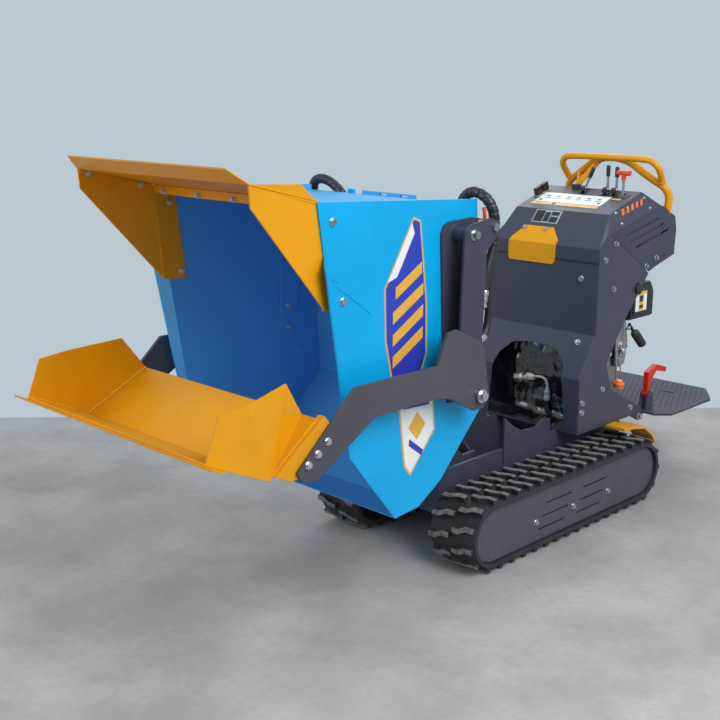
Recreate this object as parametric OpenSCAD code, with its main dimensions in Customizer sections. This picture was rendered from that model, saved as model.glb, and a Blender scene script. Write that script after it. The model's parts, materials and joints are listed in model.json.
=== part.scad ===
// Tracked power carrier with a tipping skip and a self-loading shovel, shown with the skip tipped.
// Millimetres. +Z is up, the machine's front is -Y and the operator's left is +X.
// Points given as [y, z] pairs lie in the machine's side plane, with y = 0 over the track centre.

/* [Tracks] */
// Width of one rubber belt
belt_w = 180; // [150:1:200]
// Distance between the outer faces of the two belts
track_span = 690; // [660:1:740]
// Height of a track over its lugs
track_h = 242; // [230:1:260]
// Distance between the idler and sprocket axles
wheel_base = 848; // [780:2:900]
// Offset of the belt loop from the track centre
belt_y = -18; // [-40:1:0]
// Height of a lug above the belt
lug_h = 18; // [12:1:22]
// Lugs in each of a belt's two rows
lug_count = 39; // [30:1:42]
// Thickness of the belt between lugs
belt_t = 13; // [10:1:16]
// Gap between a turning wheel and the belt
wheel_gap = 0.5; // [0.3:0.1:1]
// Width over the track frame's two plates
frame_w = 100; // [90:1:110]
// Thickness of a track frame plate
frame_t = 6; // [5:1:8]
// Teeth on a drive sprocket
sprocket_teeth = 11; // [9:1:13]
// Radius of a bottom roller
roller_r = 34; // [28:1:36]
// Distance from the track centre to each bottom roller
roller_y = 190; // [150:5:220]
// Thickness of a track cover
cover_t = 4; // [3:0.5:6]
// Distance between track cover bolts
cover_pitch = 208; // [180:1:220]

/* [Chassis] */
// Half distance between the chassis rails' outer faces
rail_x = 140; // [130:1:145]
// Thickness of a rail
rail_t = 12; // [8:1:16]
// Height of the deck's upper face
deck_z = 296; // [285:1:305]
// Thickness of the deck
deck_t = 6; // [4:1:8]
// Rear end of the deck
deck_back = 560; // [540:1:580]
// Diameter of the skip's hinge pin
hinge_d = 30; // [24:1:36]
// Radial clearance of a pin in its bore
pin_gap = 0.05; // [0.02:0.01:0.1]

/* [Console] */
// Width over the console's side plates
console_w = 458; // [440:2:480]
// Thickness of the console's sheets
sheet_t = 3; // [2:0.5:4]
// Front face of the console
console_front = 232; // [228:1:240]
// Height of the seam between front panel and hood
seam_z = 883; // [870:1:890]
// Height of the console's arched opening
arch_top = 575; // [540:5:590]
// Half width of the arched opening
arch_w = 150; // [120:5:165]
// Width of the catch plate
catch_w = 205; // [180:5:220]
// Diameter of the handlebar tube
bar_d = 28; // [24:1:32]

/* [Engine] */
// Width of the crankcase
block_w = 200; // [180:5:220]
// Height of the crankcase
block_h = 190; // [170:5:210]
// Length of the fuel tank
tank_l = 260; // [220:5:280]
// Diameter of the hydraulic oil tank
oil_d = 130; // [110:5:140]

/* [Platform] */
// Width of the rear standing platform
platform_w = 620; // [560:5:640]
// Rear edge of the platform
platform_back = 1066; // [1020:2:1080]
// Height of the platform's upper face
platform_z = 282; // [270:1:290]
// Thickness of the platform
platform_t = 8; // [5:1:10]

/* [Skip] */
// Outer width of the skip
skip_w = 690; // [660:2:700]
// Thickness of the skip's walls
skip_t = 5; // [4:0.5:8]
// Reach of the flared rim along each side wall, outwards and forwards alike
rim_flare = 30; // [22:1:34]
// Depth of the rear wall's foot below the edges of the side walls
wall_sink = 17; // [8:1:25]
// Length of the skip's floor
skip_floor = 616; // [580:2:640]
// Height of the skip's rear wall
skip_h = 605; // [560:5:620]
// Lean of the rear wall over its height
skip_lean = 69; // [40:1:90]
// Forward reach of the nose over the floor
nose_reach = 224; // [200:1:240]
// Angle by which the skip is tipped
tip_angle = 93.4; // [88:0.2:96]
// Diameter of the wrapped hydraulic hoses
hose_d = 32; // [28:1:36]

/* [Guard] */
// Forward reach of the guard over the skip's rim
guard_reach = 226; // [200:2:240]
// Half width of the guard at its front
guard_half = 364; // [350:1:380]
// Thickness of the guard's plates
guard_t = 4; // [3:0.5:6]

/* [Shovel] */
// Width of the shovel
shovel_w = 800; // [760:2:806]
// Thickness of the shovel's plates
shovel_t = 5; // [4:0.5:8]
// Width over the cutting edge
edge_w = 880; // [820:2:900]
// Thickness of an arm
arm_t = 10; // [8:0.5:12]
// Diameter of an arm's pivot pin
arm_pin_d = 24; // [20:1:28]
// Diameter of the arm's boss in the bracket
boss_d = 50; // [44:1:54]
// Space between a bracket's two plates
bracket_gap = 50; // [48:1:56]
// Thickness of a bracket plate
bracket_t = 8; // [6:0.5:10]

/* [Rams] */
// Outer diameter of a shovel ram's barrel
ram_d = 34; // [30:1:40]
// Diameter of a shovel ram's rod
ram_rod_d = 18; // [14:1:20]
// Outer diameter of the tipping ram's barrel
tip_ram_d = 56; // [48:1:60]
// Diameter of the tipping ram's rod
tip_rod_d = 28; // [24:1:32]
// Length of the rod's crank about the arm pivot
crank_r = 70; // [60:1:80]

/* [Fasteners] */
// Diameter of a bolt's shank
bolt_d = 10; // [8:1:12]
// Clearance of a bolt in its hole, on the diameter
bolt_gap = 0.5; // [0.2:0.1:1]

/* [Hidden] */
$fn = 48;

// Depth by which a cutting tool passes a face
cut = 1;
// Depth by which welded pieces run into each other
weld = 2;
// Gap between a moving piece and a fixed face
side_gap = 0.5;

yellow = [0.92, 0.63, 0.02];
dark_grey = [0.23, 0.24, 0.29];
warm_grey = [0.33, 0.32, 0.35];
sky_blue = [0.0, 0.6, 0.9];
black = [0.07, 0.07, 0.08];
zinc = [0.75, 0.76, 0.78];
red = [0.85, 0.15, 0.1];

// Turn and placing
function turn(p, a) = [p.x * cos(a) - p.y * sin(a), p.x * sin(a) + p.y * cos(a)];
function cross_2d(a, b) = a.x * b.y - a.y * b.x;
function meet(p, u, q, v) = p + u * cross_2d(q - p, v) / cross_2d(u, v);
function unit(v) = v / norm(v);
function heading(a, b) = atan2(b.y - a.y, b.x - a.x);
function at_x(x, p) = [x, p.x, p.y];
// Outline moved inward along each edge by that edge's own distance
function inset(pts, d) = let (n = len(pts)) [for (i = [0:n - 1])
    let (a = pts[(i + n - 1) % n], b = pts[i], c = pts[(i + 1) % n],
        u = unit(b - a), v = unit(c - b))
    meet(b + d[(i + n - 1) % n] * [-u.y, u.x], u, b + d[i] * [-v.y, v.x], v)];

// Moves the machine from its track centre to the middle of its length
module machine() { translate([0, track_back, 0]) children(); }

module both_sides() {
    children();
    mirror([1, 0, 0]) children();
}

// Solid with a side outline of [y, z] points, from x over a width w
module slab(pts, x, w) { translate([x, 0, 0]) rotate([90, 0, 90]) linear_extrude(w) polygon(pts); }

// Round bar along X about a side point
module bar_x(x, w, p, d) { translate([x, p.x, p.y]) rotate([0, 90, 0]) cylinder(d = d, h = w); }

// Round bar between two points in space
module bar(a, b, d) {
    v = b - a;
    translate(a) rotate([0, acos(v.z / norm(v)), atan2(v.y, v.x)]) cylinder(d = d, h = norm(v));
}

// Point at a share u of a route, on a smooth curve through its points
function curve_at(pts, u) = let (n = len(pts) - 1, k = min(floor(u * n), n - 1), t = u * n - k,
    a = pts[max(k - 1, 0)], b = pts[k], c = pts[k + 1], d = pts[min(k + 2, n)])
    0.5 * (2 * b + (c - a) * t + (2 * a - 5 * b + 4 * c - d) * t * t + (3 * b - a - 3 * c + d) * t * t * t);

// Rings of m points along a route, one for each radius given
function tube_points(pts, radii, m) = let (n = len(radii) - 1, step = 0.002) [for (i = [0:n], k = [0:m - 1])
    let (u = i / n, f = unit(curve_at(pts, min(u + step, 1)) - curve_at(pts, max(u - step, 0))),
        side = unit(cross(f, [0.05, 1, 0.02])), up = cross(side, f), a = k * 360 / m)
    curve_at(pts, u) + radii[i] * (cos(a) * side + sin(a) * up)];

// Triangles between n + 1 rings of m points, counted from point o
function tube_faces(n, m, o) = [for (i = [0:n - 1], k = [0:m - 1]) let (l = (k + 1) % m) each [
    [o + i * m + k, o + (i + 1) * m + k, o + i * m + l],
    [o + i * m + l, o + (i + 1) * m + k, o + (i + 1) * m + l]]];

// Smooth solid tube of n rings along a route
module swept_tube(pts, d, n) {
    m = 12;
    points = tube_points(pts, [for (i = [0:n]) d / 2], m);
    polyhedron(points = points, faces = concat(tube_faces(n, m, 0),
        [[for (k = [0:m - 1]) k]], [[for (k = [m - 1:-1:0]) n * m + k]]));
}

// Flat sheet between a list of points in space and the same points moved by a thickness vector
module sheet(pts, t) {
    n = len(pts);
    polyhedron(points = concat(pts, [for (p = pts) p + t]), faces = concat(
        [for (i = [1:n - 2]) [0, i, i + 1]],
        [for (i = [1:n - 2]) [n, n + i + 1, n + i]],
        [for (i = [0:n - 1]) [i, i + n, (i + 1) % n]],
        [for (i = [0:n - 1]) [(i + 1) % n, i + n, (i + 1) % n + n]]));
}

// Convex solid around a list of points
module wrap(pts) { hull() polyhedron(points = pts, faces = [for (i = [0:len(pts) - 3]) [i, i + 1, i + 2]]); }

// Hexagon bolt along +X: washer and head outside x = 0, shank of the grip's length inside
module bolt(grip) {
    washer_t = bolt_d * 0.2;
    rotate([0, 90, 0]) {
        translate([0, 0, -grip]) cylinder(d = bolt_d, h = grip + weld / 2);
        cylinder(d = bolt_d * 2.1, h = washer_t);
        cylinder(d = bolt_d * 1.75, h = washer_t + bolt_d * 0.6, $fn = 6);
    }
}

module bolts_x(points, x, grip) { for (p = points) translate([x, p.x, p.y]) bolt(grip); }

module holes_x(points, x, w) { for (p = points) bar_x(x - cut, w + 2 * cut, p, bolt_d + bolt_gap); }

// Tracks
belt_x = track_span / 2 - belt_w;
belt_in = track_h / 2 - lug_h - belt_t;
belt_out = belt_in + belt_t;
axle_z = track_h / 2;
idler_at = [belt_y - wheel_base / 2, axle_z];
sprocket_at = [belt_y + wheel_base / 2, axle_z];
loop_len = 2 * wheel_base + 2 * PI * belt_out;
frame_x = belt_x + (belt_w - frame_w) / 2;
roller_z = lug_h + belt_t + roller_r + wheel_gap;
axle_d = 30;
roller_axle_d = 16;
wheel_w = frame_w - 2 * frame_t - 8;
wheel_x = frame_x + (frame_w - wheel_w) / 2;
cover_x = frame_x + frame_w + 24;
cover_bolts = [for (i = [-1:1]) [belt_y + 4 + i * cover_pitch, axle_z - 20]];
row_w = (belt_w - 20) / 2;
rail_gap = 15;
rail_out = min(rail_x, belt_x - rail_gap);

module stadium(r) {
    translate([idler_at.x, axle_z]) circle(r, $fn = 96);
    translate([sprocket_at.x, axle_z]) circle(r, $fn = 96);
    translate([idler_at.x, axle_z - r]) square([wheel_base, 2 * r]);
}

lug_half = 8;
lug_wave = 7;
end_lug_h = sqrt(pow(track_h / 2, 2) - pow(lug_half + lug_wave, 2)) - belt_out;

// Place, turn and height of a lug at a distance s round the belt, from the idler's underside
function lug_pose(s) = let (half = PI * belt_out, top = wheel_base + half)
    s < wheel_base ? [idler_at.x + s, axle_z - belt_out, 180, lug_h] :
    s < top ? let (a = (s - wheel_base) / belt_out * 180 / PI - 90)
        [sprocket_at.x + belt_out * cos(a), axle_z + belt_out * sin(a), a - 90, end_lug_h] :
    s < top + wheel_base ? [sprocket_at.x - (s - top), axle_z + belt_out, 0, lug_h] :
    let (a = (s - top - wheel_base) / belt_out * 180 / PI + 90)
        [idler_at.x + belt_out * cos(a), axle_z + belt_out * sin(a), a - 90, end_lug_h];

// Wavy lug across one row of the belt
module lug(h) {
    step = row_w / 3;
    low = -lug_half;
    high = lug_half;
    translate([0, 0, -weld]) linear_extrude(h + weld) polygon([
        [0, low - lug_wave], [step, low - lug_wave], [2 * step, low + lug_wave], [3 * step, low + lug_wave],
        [3 * step, high + lug_wave], [2 * step - 3, high + lug_wave], [step - 3, high - lug_wave],
        [0, high - lug_wave]]);
}

module belt() {
    color(black) {
        translate([belt_x, 0, 0]) rotate([90, 0, 90]) linear_extrude(belt_w) difference() {
            stadium(belt_out);
            stadium(belt_in);
        }
        for (row = [0, 1], i = [0:lug_count - 1]) {
            pose = lug_pose((i + 0.25 + row / 2) * loop_len / lug_count);
            translate([belt_x + 5 + row * (row_w + 10), pose[0], pose[1]]) rotate([pose[2], 0, 0])
                lug(pose[3]);
        }
    }
}

frame_low = roller_z - 12;
frame_top = axle_z + 44;
frame_side = [[idler_at.x - 34, axle_z - 34], [idler_at.x + 90, frame_low], [sprocket_at.x - 90, frame_low],
    [sprocket_at.x + 34, axle_z - 34], [sprocket_at.x + 34, axle_z + 34],
    [sprocket_at.x - 90, frame_top], [idler_at.x + 90, frame_top], [idler_at.x - 34, axle_z + 34]];
roller_places = [[-roller_y + belt_y, roller_z], [roller_y + belt_y, roller_z]];

module track_frames() {
    color(dark_grey) machine() both_sides() difference() {
        union() {
            slab(frame_side, frame_x, frame_t);
            slab(frame_side, frame_x + frame_w - frame_t, frame_t);
            translate([frame_x, idler_at.x + 105, frame_top - 8])
                cube([frame_w, wheel_base - 210, 8]);
            bar_x(frame_x, frame_w, idler_at, axle_d);
            for (p = roller_places) bar_x(frame_x, frame_w, p, roller_axle_d);
            for (p = cover_bolts) bar_x(frame_x + frame_w - 1, cover_x - frame_x - frame_w + 1, p, 40);
        }
        bar_x(frame_x - cut, frame_t + 2 * cut, sprocket_at, axle_d + 4);
        holes_x(cover_bolts, cover_x - 20, 20);
    }
}

module track_belt_left() { machine() belt(); }

module track_belt_right() { machine() mirror([1, 0, 0]) belt(); }

module track_covers() {
    slot_l = 142;
    slot_t = 5;
    slot_rise = 41;
    slot_shift = 20;
    slot_y = belt_y + 9 - cover_pitch / 2 - slot_l / 2;
    slot_z = axle_z - 9 - slot_t / 2;
    color(warm_grey) machine() both_sides() difference() {
        translate([cover_x, 0, 0]) rotate([90, 0, 90]) linear_extrude(cover_t) stadium(belt_in - 3);
        holes_x(cover_bolts, cover_x, cover_t);
        for (i = [0, 1], k = [-1:1])
            translate([cover_x - cut, slot_y + i * cover_pitch + k * slot_shift, slot_z + k * slot_rise])
                cube([cover_t + 2 * cut, slot_l, slot_t]);
    }
}

module roller(p) {
    color(black) machine() difference() {
        bar_x(wheel_x, wheel_w, p, 2 * roller_r);
        bar_x(wheel_x - cut, wheel_w + 2 * cut, p, roller_axle_d + 2 * pin_gap);
        for (x = [wheel_x - cut, wheel_x + wheel_w - 10 + cut]) difference() {
            bar_x(x, 10, p, 2 * roller_r - 10);
            bar_x(x - cut, 10 + 2 * cut, p, 2 * roller_r - 34);
        }
    }
}

module roller_front_left() { roller(roller_places[0]); }

module roller_rear_left() { roller(roller_places[1]); }

module roller_front_right() { mirror([1, 0, 0]) roller(roller_places[0]); }

module roller_rear_right() { mirror([1, 0, 0]) roller(roller_places[1]); }

module idler() {
    color(black) machine() difference() {
        union() {
            bar_x(wheel_x, wheel_w, idler_at, 90);
            for (x = [wheel_x, wheel_x + wheel_w - 22]) bar_x(x, 22, idler_at, 2 * (belt_in - wheel_gap));
        }
        bar_x(wheel_x - cut, wheel_w + 2 * cut, idler_at, axle_d + 2 * pin_gap);
        for (a = [0:72:288]) bar_x(wheel_x - cut, wheel_w + 2 * cut, idler_at + 60 * [cos(a), sin(a)], 24);
    }
}

module idler_left() { idler(); }

module idler_right() { mirror([1, 0, 0]) idler(); }

module sprocket() {
    tooth_w = 22;
    root_r = belt_in - 16;
    color(dark_grey) machine() difference() {
        union() {
            bar_x(wheel_x, wheel_w, sprocket_at, 80);
            bar_x(wheel_x + wheel_w / 2 - 15, 30, sprocket_at, 2 * root_r);
            for (i = [0:sprocket_teeth - 1])
                translate([wheel_x + wheel_w / 2 - 15, sprocket_at.x, sprocket_at.y])
                    rotate([i * 360 / sprocket_teeth, 0, 0])
                        translate([0, -tooth_w / 2, root_r - 6]) cube([30, tooth_w, 20 - wheel_gap]);
        }
        bar_x(wheel_x - cut, wheel_w + 2 * cut, sprocket_at, axle_d + 2 * pin_gap);
    }
}

module sprocket_left() { sprocket(); }

module sprocket_right() { mirror([1, 0, 0]) sprocket(); }

module drive_motors() {
    motor_l = frame_x - rail_out - 6;
    color(black) machine() both_sides() {
        bar_x(frame_x - motor_l, motor_l, sprocket_at, 96);
        bar_x(frame_x - 1, frame_w - frame_t, sprocket_at, axle_d);
        translate([frame_x - motor_l, sprocket_at.x - 30, axle_z + 30]) cube([motor_l * 0.7, 60, 40]);
    }
}

// Chassis
skip_corner = [-538, 554];
hinge_at = skip_corner + [-2, -54];
post_x = 74;
post_t = 12;
beam_z = axle_z - 50;
beam_y = 230;
beam_w = 60;
rail_low = axle_z + 24;
rail_h = deck_z - deck_t - rail_low;
frame_front = -480;
frame_l = deck_back - frame_front;
nose_t = 10;
tip_base_at = [-150, 200];
tip_rod_at = skip_corner + [33, 66];
tip_pin_d = 20;
tip_lug_x = 20;
tip_lug_t = 10;
platform_front = deck_back + 40;
platform_hinge = [platform_front - 14, platform_z - 16];
platform_pin_d = 16;
platform_bracket_x = 200;
platform_bracket = [[deck_back - 60, deck_z - deck_t], platform_hinge + [-14, -14],
    platform_hinge + [14, -14], platform_hinge + [14, 6], [deck_back, deck_z]];
post_side = [[frame_front, rail_low], [-300, rail_low], [-235, deck_z - deck_t], [-300, deck_z - deck_t],
    hinge_at + [24, 18], hinge_at + [0, 30], hinge_at + [-26, 15], hinge_at + [-30, -8]];
tip_lug_side = [[-230, rail_low], [-70, rail_low], tip_base_at + [24, 14], tip_base_at + [0, 26],
    tip_base_at + [-24, 14]];
valve_plate = [[-157, rail_low], [107, rail_low], [100, 345], [60, 352], [20, 330], [-60, 335], [-110, 362],
    [-157, 400]];
nose_bolts = [[-60, 218], [60, 218]];

module chassis_frame() {
    color(dark_grey) machine() difference() {
        union() {
            both_sides() {
                translate([rail_out - rail_t, frame_front, rail_low]) cube([rail_t, frame_l, rail_h]);
                slab(post_side, post_x, post_t);
                slab(tip_lug_side, tip_lug_x, tip_lug_t);
                slab(valve_plate, rail_out - weld, 6 + weld);
                for (y = [-beam_y, beam_y]) translate([0, y - beam_w / 2, beam_z])
                    cube([frame_x, beam_w, rail_low + weld - beam_z]);
                slab(platform_bracket, platform_bracket_x, 12);
            }
            translate([-rail_out, frame_front, rail_low]) cube([2 * rail_out, frame_l, 8]);
            translate([-console_w / 2, 147, deck_z - deck_t]) cube([console_w, deck_back - 147, deck_t]);
            translate([-rail_out, frame_front, rail_low]) cube([2 * rail_out, nose_t, rail_h]);
        }
        bar_x(-post_x - post_t - cut, 2 * (post_x + post_t + cut), hinge_at, hinge_d + 2 * pin_gap);
        bar_x(-tip_lug_x - tip_lug_t - cut, 2 * (tip_lug_x + tip_lug_t + cut), tip_base_at,
            tip_pin_d + 2 * pin_gap);
        bar_x(-220, 440, platform_hinge, platform_pin_d + 2 * pin_gap);
        for (p = nose_bolts) translate([p.x, frame_front - cut, p.y]) rotate([-90, 0, 0])
            cylinder(d = bolt_d + bolt_gap, h = nose_t + 2 * cut);
    }
}

// Pins of the skip's hinge, the tipping ram's foot and the platform's hinge
module chassis_pins() {
    color(zinc) machine() {
        bar_x(-post_x - post_t, 2 * (post_x + post_t), hinge_at, hinge_d);
        both_sides() bar_x(post_x + post_t, 6, hinge_at, hinge_d + 14);
        bar_x(-tip_lug_x - tip_lug_t, 2 * (tip_lug_x + tip_lug_t), tip_base_at, tip_pin_d);
        both_sides() bar_x(tip_lug_x + tip_lug_t, 4, tip_base_at, tip_pin_d + 10);
        bar_x(-214, 428, platform_hinge, platform_pin_d);
    }
}

fender_front = 330;
fender_reach = 75;
fender_tab = [42, 60, 8];
fender_side = [[fender_front, deck_z - 16], [400, 274], [470, 260], [522, 222], [547, 190], [552, 195],
    [526, 230], [474, 268], [404, 282], [fender_front, deck_z - deck_t]];

module track_fenders() {
    fender_x = console_w / 2 - 16;
    color(yellow) machine() both_sides() {
        slab(fender_side, fender_x, console_w / 2 + fender_reach - fender_x);
        translate([fender_x - 30, fender_front + 10, deck_z - deck_t - fender_tab.z]) cube(fender_tab);
    }
}

// Platform
platform_ear_x = 186;
platform_corner = 90;
tread_w = 60;
latch_at = [platform_front + 34, platform_z + 60];
latch_x = 205;
latch_side = [[-9, -8], [9, -4], [14, 52], [50, 82], [118, 66], [122, 84], [52, 106], [-8, 84], [-10, 8]];

module platform() {
    half = platform_w / 2;
    front = platform_front;
    ear_top = platform_z - platform_t + weld / 2;
    color(dark_grey) machine() difference() {
        union() {
            translate([0, 0, platform_z - platform_t]) linear_extrude(platform_t) polygon([
                [-half + 45, front], [half - 45, front], [half, front + 45], [half, platform_back - 130],
                [half - 31, platform_back - 82], [half - platform_corner, platform_back],
                [-half + platform_corner, platform_back], [-half + 31, platform_back - 82],
                [-half, platform_back - 130], [-half, front + 45]]);
            both_sides() slab([platform_hinge + [-13, 4], platform_hinge + [-6, -13],
                platform_hinge + [10, -13], [front + 60, ear_top], [front, ear_top],
                platform_hinge + [-6, 13]], platform_ear_x, platform_bracket_x - platform_ear_x - side_gap);
            for (x = [latch_x - 19, latch_x + 9]) slab([[front + 10, platform_z - 1],
                [front + 62, platform_z - 1], latch_at + [14, 4], latch_at + [0, 13],
                latch_at + [-13, 4]], x, 6);
        }
        bar_x(-220, 440, platform_hinge, platform_pin_d + 2 * pin_gap);
        bar_x(latch_x - 20, 40, latch_at, 10 + 2 * pin_gap);
        for (x = [-1, 1], y = [0, 1])
            translate([x * half * 0.45, front + 160 + y * 150, platform_z - platform_t - cut])
                linear_extrude(platform_t + 2 * cut) square([tread_w, 12], center = true);
    }
}

module platform_latch() {
    color(red) machine() {
        bar_x(latch_x - 19, 34, latch_at, 10);
        bar_x(latch_x - 12, 20, latch_at, 26);
        slab([for (p = latch_side) latch_at + p], latch_x - 12, 20);
    }
}

// Console
plate_x = console_w / 2 - sheet_t;
inner_x = plate_x - side_gap;
hood_bend = 933;
louvre_side = [[300, 975], [521, 841], [557, 821], [600, 835], [725, 867], [731, 957], [719, 1007],
    [631, 1052]];
console_side = [[147, deck_z], [deck_back, deck_z], [deck_back, 310], [392, 395], [344, 422], [309, 517],
    [356, 585], [412, 659], [554, 814], [521, 841], [300, 975], [281, 971],
    [console_front + 6, hood_bend + 6], [console_front, hood_bend - 10], [console_front, 630], [147, 487]];
side_bolts = [[327, 784], [289, 430], [165, 402], [165, 368], [480, 325], [267, 892]];
panel_bolts = [[159, 825]];
hood_top = [[326, 1041], [522, 1107]];
hood_half = 200;
hood_lean = heading(hood_top[0], hood_top[1]);
hood_run = norm(hood_top[1] - hood_top[0]);

module console_sides() {
    color(dark_grey) machine() both_sides() difference() {
        slab(console_side, plate_x, sheet_t);
        holes_x(side_bolts, plate_x, sheet_t);
    }
}

// Right edge of the arched opening, from the deck up to its crown
arch_side = [[arch_w + 22, deck_z - cut], [arch_w + 6, 468], [arch_w - 8, arch_top - 50],
    [arch_w - 54, arch_top - 8], [arch_w - 110, arch_top]];

module front_panel() {
    outline = [[147, deck_z], [147, 487], [console_front, 630], [console_front, seam_z - 3]];
    color(dark_grey) machine() difference() {
        slab(concat(outline, [for (i = [3:-1:0]) outline[i] + [sheet_t * 1.4, 0]]), -inner_x, 2 * inner_x);
        translate([0, console_front + 100, 0]) rotate([90, 0, 0]) linear_extrude(300) polygon([
            each arch_side, for (i = [len(arch_side) - 1:-1:0]) [-arch_side[i].x, arch_side[i].y]]);
        for (p = panel_bolts) translate([p.x, console_front - cut, p.y]) rotate([-90, 0, 0])
            cylinder(d = bolt_d + bolt_gap, h = 10);
    }
}

// Corner points of the hood's outer face, drawn in by t
function hood_points(t, low) = [for (s = [-1, 1]) each [
    [s * (inner_x - 1 - t), console_front + t, low],
    [s * (inner_x - 1 - t), console_front + t, hood_bend - t * 0.4],
    [s * (inner_x - t), 281, 971 - t], [s * (hood_half - t), hood_top[0].x + t * 0.4, hood_top[0].y - t],
    [s * (hood_half - t), hood_top[1].x - t * 0.4, hood_top[1].y - t], [s * (inner_x - t), 629 - t, 1050 - t],
    [s * (inner_x - t), 629 - t, low + 60]]];

module hood() {
    color(dark_grey) machine() difference() {
        wrap(hood_points(0, seam_z));
        wrap(hood_points(sheet_t, seam_z - cut));
        for (foot = lever_feet) on_hood() translate([foot.x - 8, foot.y - slot_down, -30])
            cube([16, lever_slot_l, 50]);
    }
}

// Frame lying on the hood's sloping top, with y up the slope
module on_hood() { translate([0, hood_top[0].x, hood_top[0].y]) rotate([hood_lean, 0, 0]) children(); }

module engine_cover() {
    back = [for (i = [4:7]) louvre_side[i]];
    inner = inset(louvre_side, [for (i = [0:7]) sheet_t]);
    color(dark_grey) machine() union() {
        both_sides() difference() {
            slab(louvre_side, plate_x, sheet_t);
            for (i = [0:2]) translate([plate_x - cut, 388 + i * 37, 961 - i * 23]) rotate([12, 0, 0])
                cube([sheet_t + 2 * cut, 218, 7]);
        }
        slab(concat(back, [for (i = [7:-1:4]) inner[i]]), -plate_x - weld, 2 * (plate_x + weld));
    }
}

module catch_plate() {
    x0 = -157;
    x1 = x0 + catch_w;
    rise = heading([console_front, hood_bend], hood_top[0]);
    bend = [console_front, hood_bend];
    face = [[console_front, 862], bend, bend + 78 * [cos(rise), sin(rise)]];
    color(yellow) machine() intersection() {
        slab(concat(face, [for (i = [2:-1:0]) face[i] - [6, 0]]), x0, catch_w);
        translate([0, console_front + 200, 0]) rotate([90, 0, 0]) linear_extrude(300) polygon([
            [x0, 872], [x0 + 8, 862], [x1 - 12, 862], [x1 - 4, 872], [x1, 945], [x1 - 45, 985],
            [x0 + 42, 985], [x0 + 6, 945], [x0, 925]]);
    }
}

// Label plate with its two side strips on the hood's top
module control_plate() {
    color("white") machine() on_hood() translate([0, 0, 0.05]) {
        translate([-165, 60, 0]) cube([285, 80, 1.5]);
        translate([-165, 36, 0]) cube([90, 20, 1.5]);
        translate([-60, 36, 0]) cube([180, 20, 1.5]);
        translate([-197, 100, 0]) cube([27, 70, 1.5]);
    }
}

// Handlebar of two loops welded together, each given from its left foot to the middle
bar_half = [[214, 678, 1010], [218, 680, 1050], [219, 678, 1086], [203, 667, 1116], [162, 653, 1143],
    [120, 643, 1171], [80, 639, 1197], [38, 637, 1211]];
bar_middle = [0, 636, 1214];
grip_half = [[202, 655, 1134], [208, 634, 1162], [206, 613, 1190], [183, 603, 1211], [148, 600, 1216],
    [110, 600, 1217], [72, 600, 1217], [36, 600, 1217]];
grip_middle = [0, 600, 1217];
function whole_loop(half, middle) = concat(half, [middle],
    [for (i = [len(half) - 1:-1:0]) [-half[i].x, half[i].y, half[i].z]]);

module handlebar() {
    color(yellow) machine() {
        difference() {
            swept_tube(whole_loop(bar_half, bar_middle), bar_d, 54);
            slab(louvre_side, -plate_x - sheet_t - 5, 2 * (plate_x + sheet_t + 5));
        }
        swept_tube(whole_loop(grip_half, grip_middle), bar_d - 4, 48);
    }
}

// Controls
lever_x = 150;
lever_run = 150;
valve_run = hood_run - 40;
valve_levers = [-20, 75, 112];
lever_drop = 40;
slot_down = 16;
lever_slot_l = 48;
lever_pin_d = 8;
lever_pin_l = 32;
stick_d = 10;
lever_feet = concat([[lever_x, lever_run]], [for (x = valve_levers) [x, valve_run]]);

// Foot of a lever: a ball with its cross pin, set in the valve under the hood
module lever_at(foot) {
    machine() on_hood() translate([foot.x, foot.y, -lever_drop]) rotate([-hood_lean, 0, 0]) {
        color(zinc) sphere(d = 18);
        color(zinc) translate([-lever_pin_l / 2, 0, 0]) rotate([0, 90, 0])
            cylinder(d = lever_pin_d, h = lever_pin_l);
        children();
    }
}

// Steel stick with a moulded grip, leaning sideways above the hood
module stick(foot, length, grip_l, grip_d, lean) {
    knee = lever_drop + 14;
    lever_at(foot) {
        color(zinc) cylinder(d = stick_d, h = knee);
        translate([0, 0, knee]) rotate([0, lean, 0]) {
            color(zinc) sphere(d = stick_d * 1.3);
            color(zinc) cylinder(d = stick_d, h = length);
            color(black) translate([0, 0, length - weld]) cylinder(d = grip_d, h = grip_l);
            color(black) translate([0, 0, length + grip_l - weld]) sphere(d = grip_d);
        }
    }
}

module travel_lever_left() { stick(lever_feet[3], 46, 32, 15, 0); }

module travel_lever_right() { stick(lever_feet[2], 50, 32, 15, 0); }

module skip_lever() { stick(lever_feet[1], 42, 36, 15, 24); }

module shovel_lever() {
    lever_at(lever_feet[0]) {
        color(zinc) cylinder(d = stick_d, h = 112);
        color(red) translate([0, 0, 96]) cylinder(d = 16, h = 22);
        color(red) translate([-26, 0, 122]) rotate([0, 90, 0]) cylinder(d = 18, h = 52);
    }
}

// Turning knob with a pointer bar, seated on the hood
module knob(x, run) {
    color(black) machine() translate([x, 0, 0]) on_hood() translate([0, run, 2]) {
        cylinder(d = 30, h = 20);
        translate([-7, -17, 0]) cube([14, 34, 28]);
    }
}

module throttle_knob() { knob(-185, 118); }

module choke_knob() { knob(-185, 158); }

// Engine behind the console
block_x = 10;
block_y = 400;
block_l = 172;
engine_top = deck_z + block_h;
filter_at = [150, 462, 650];
cap_d = 56;
tank_z = 700;
port_at = [block_y + 80, engine_top + 40];
port_w = 40;

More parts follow.
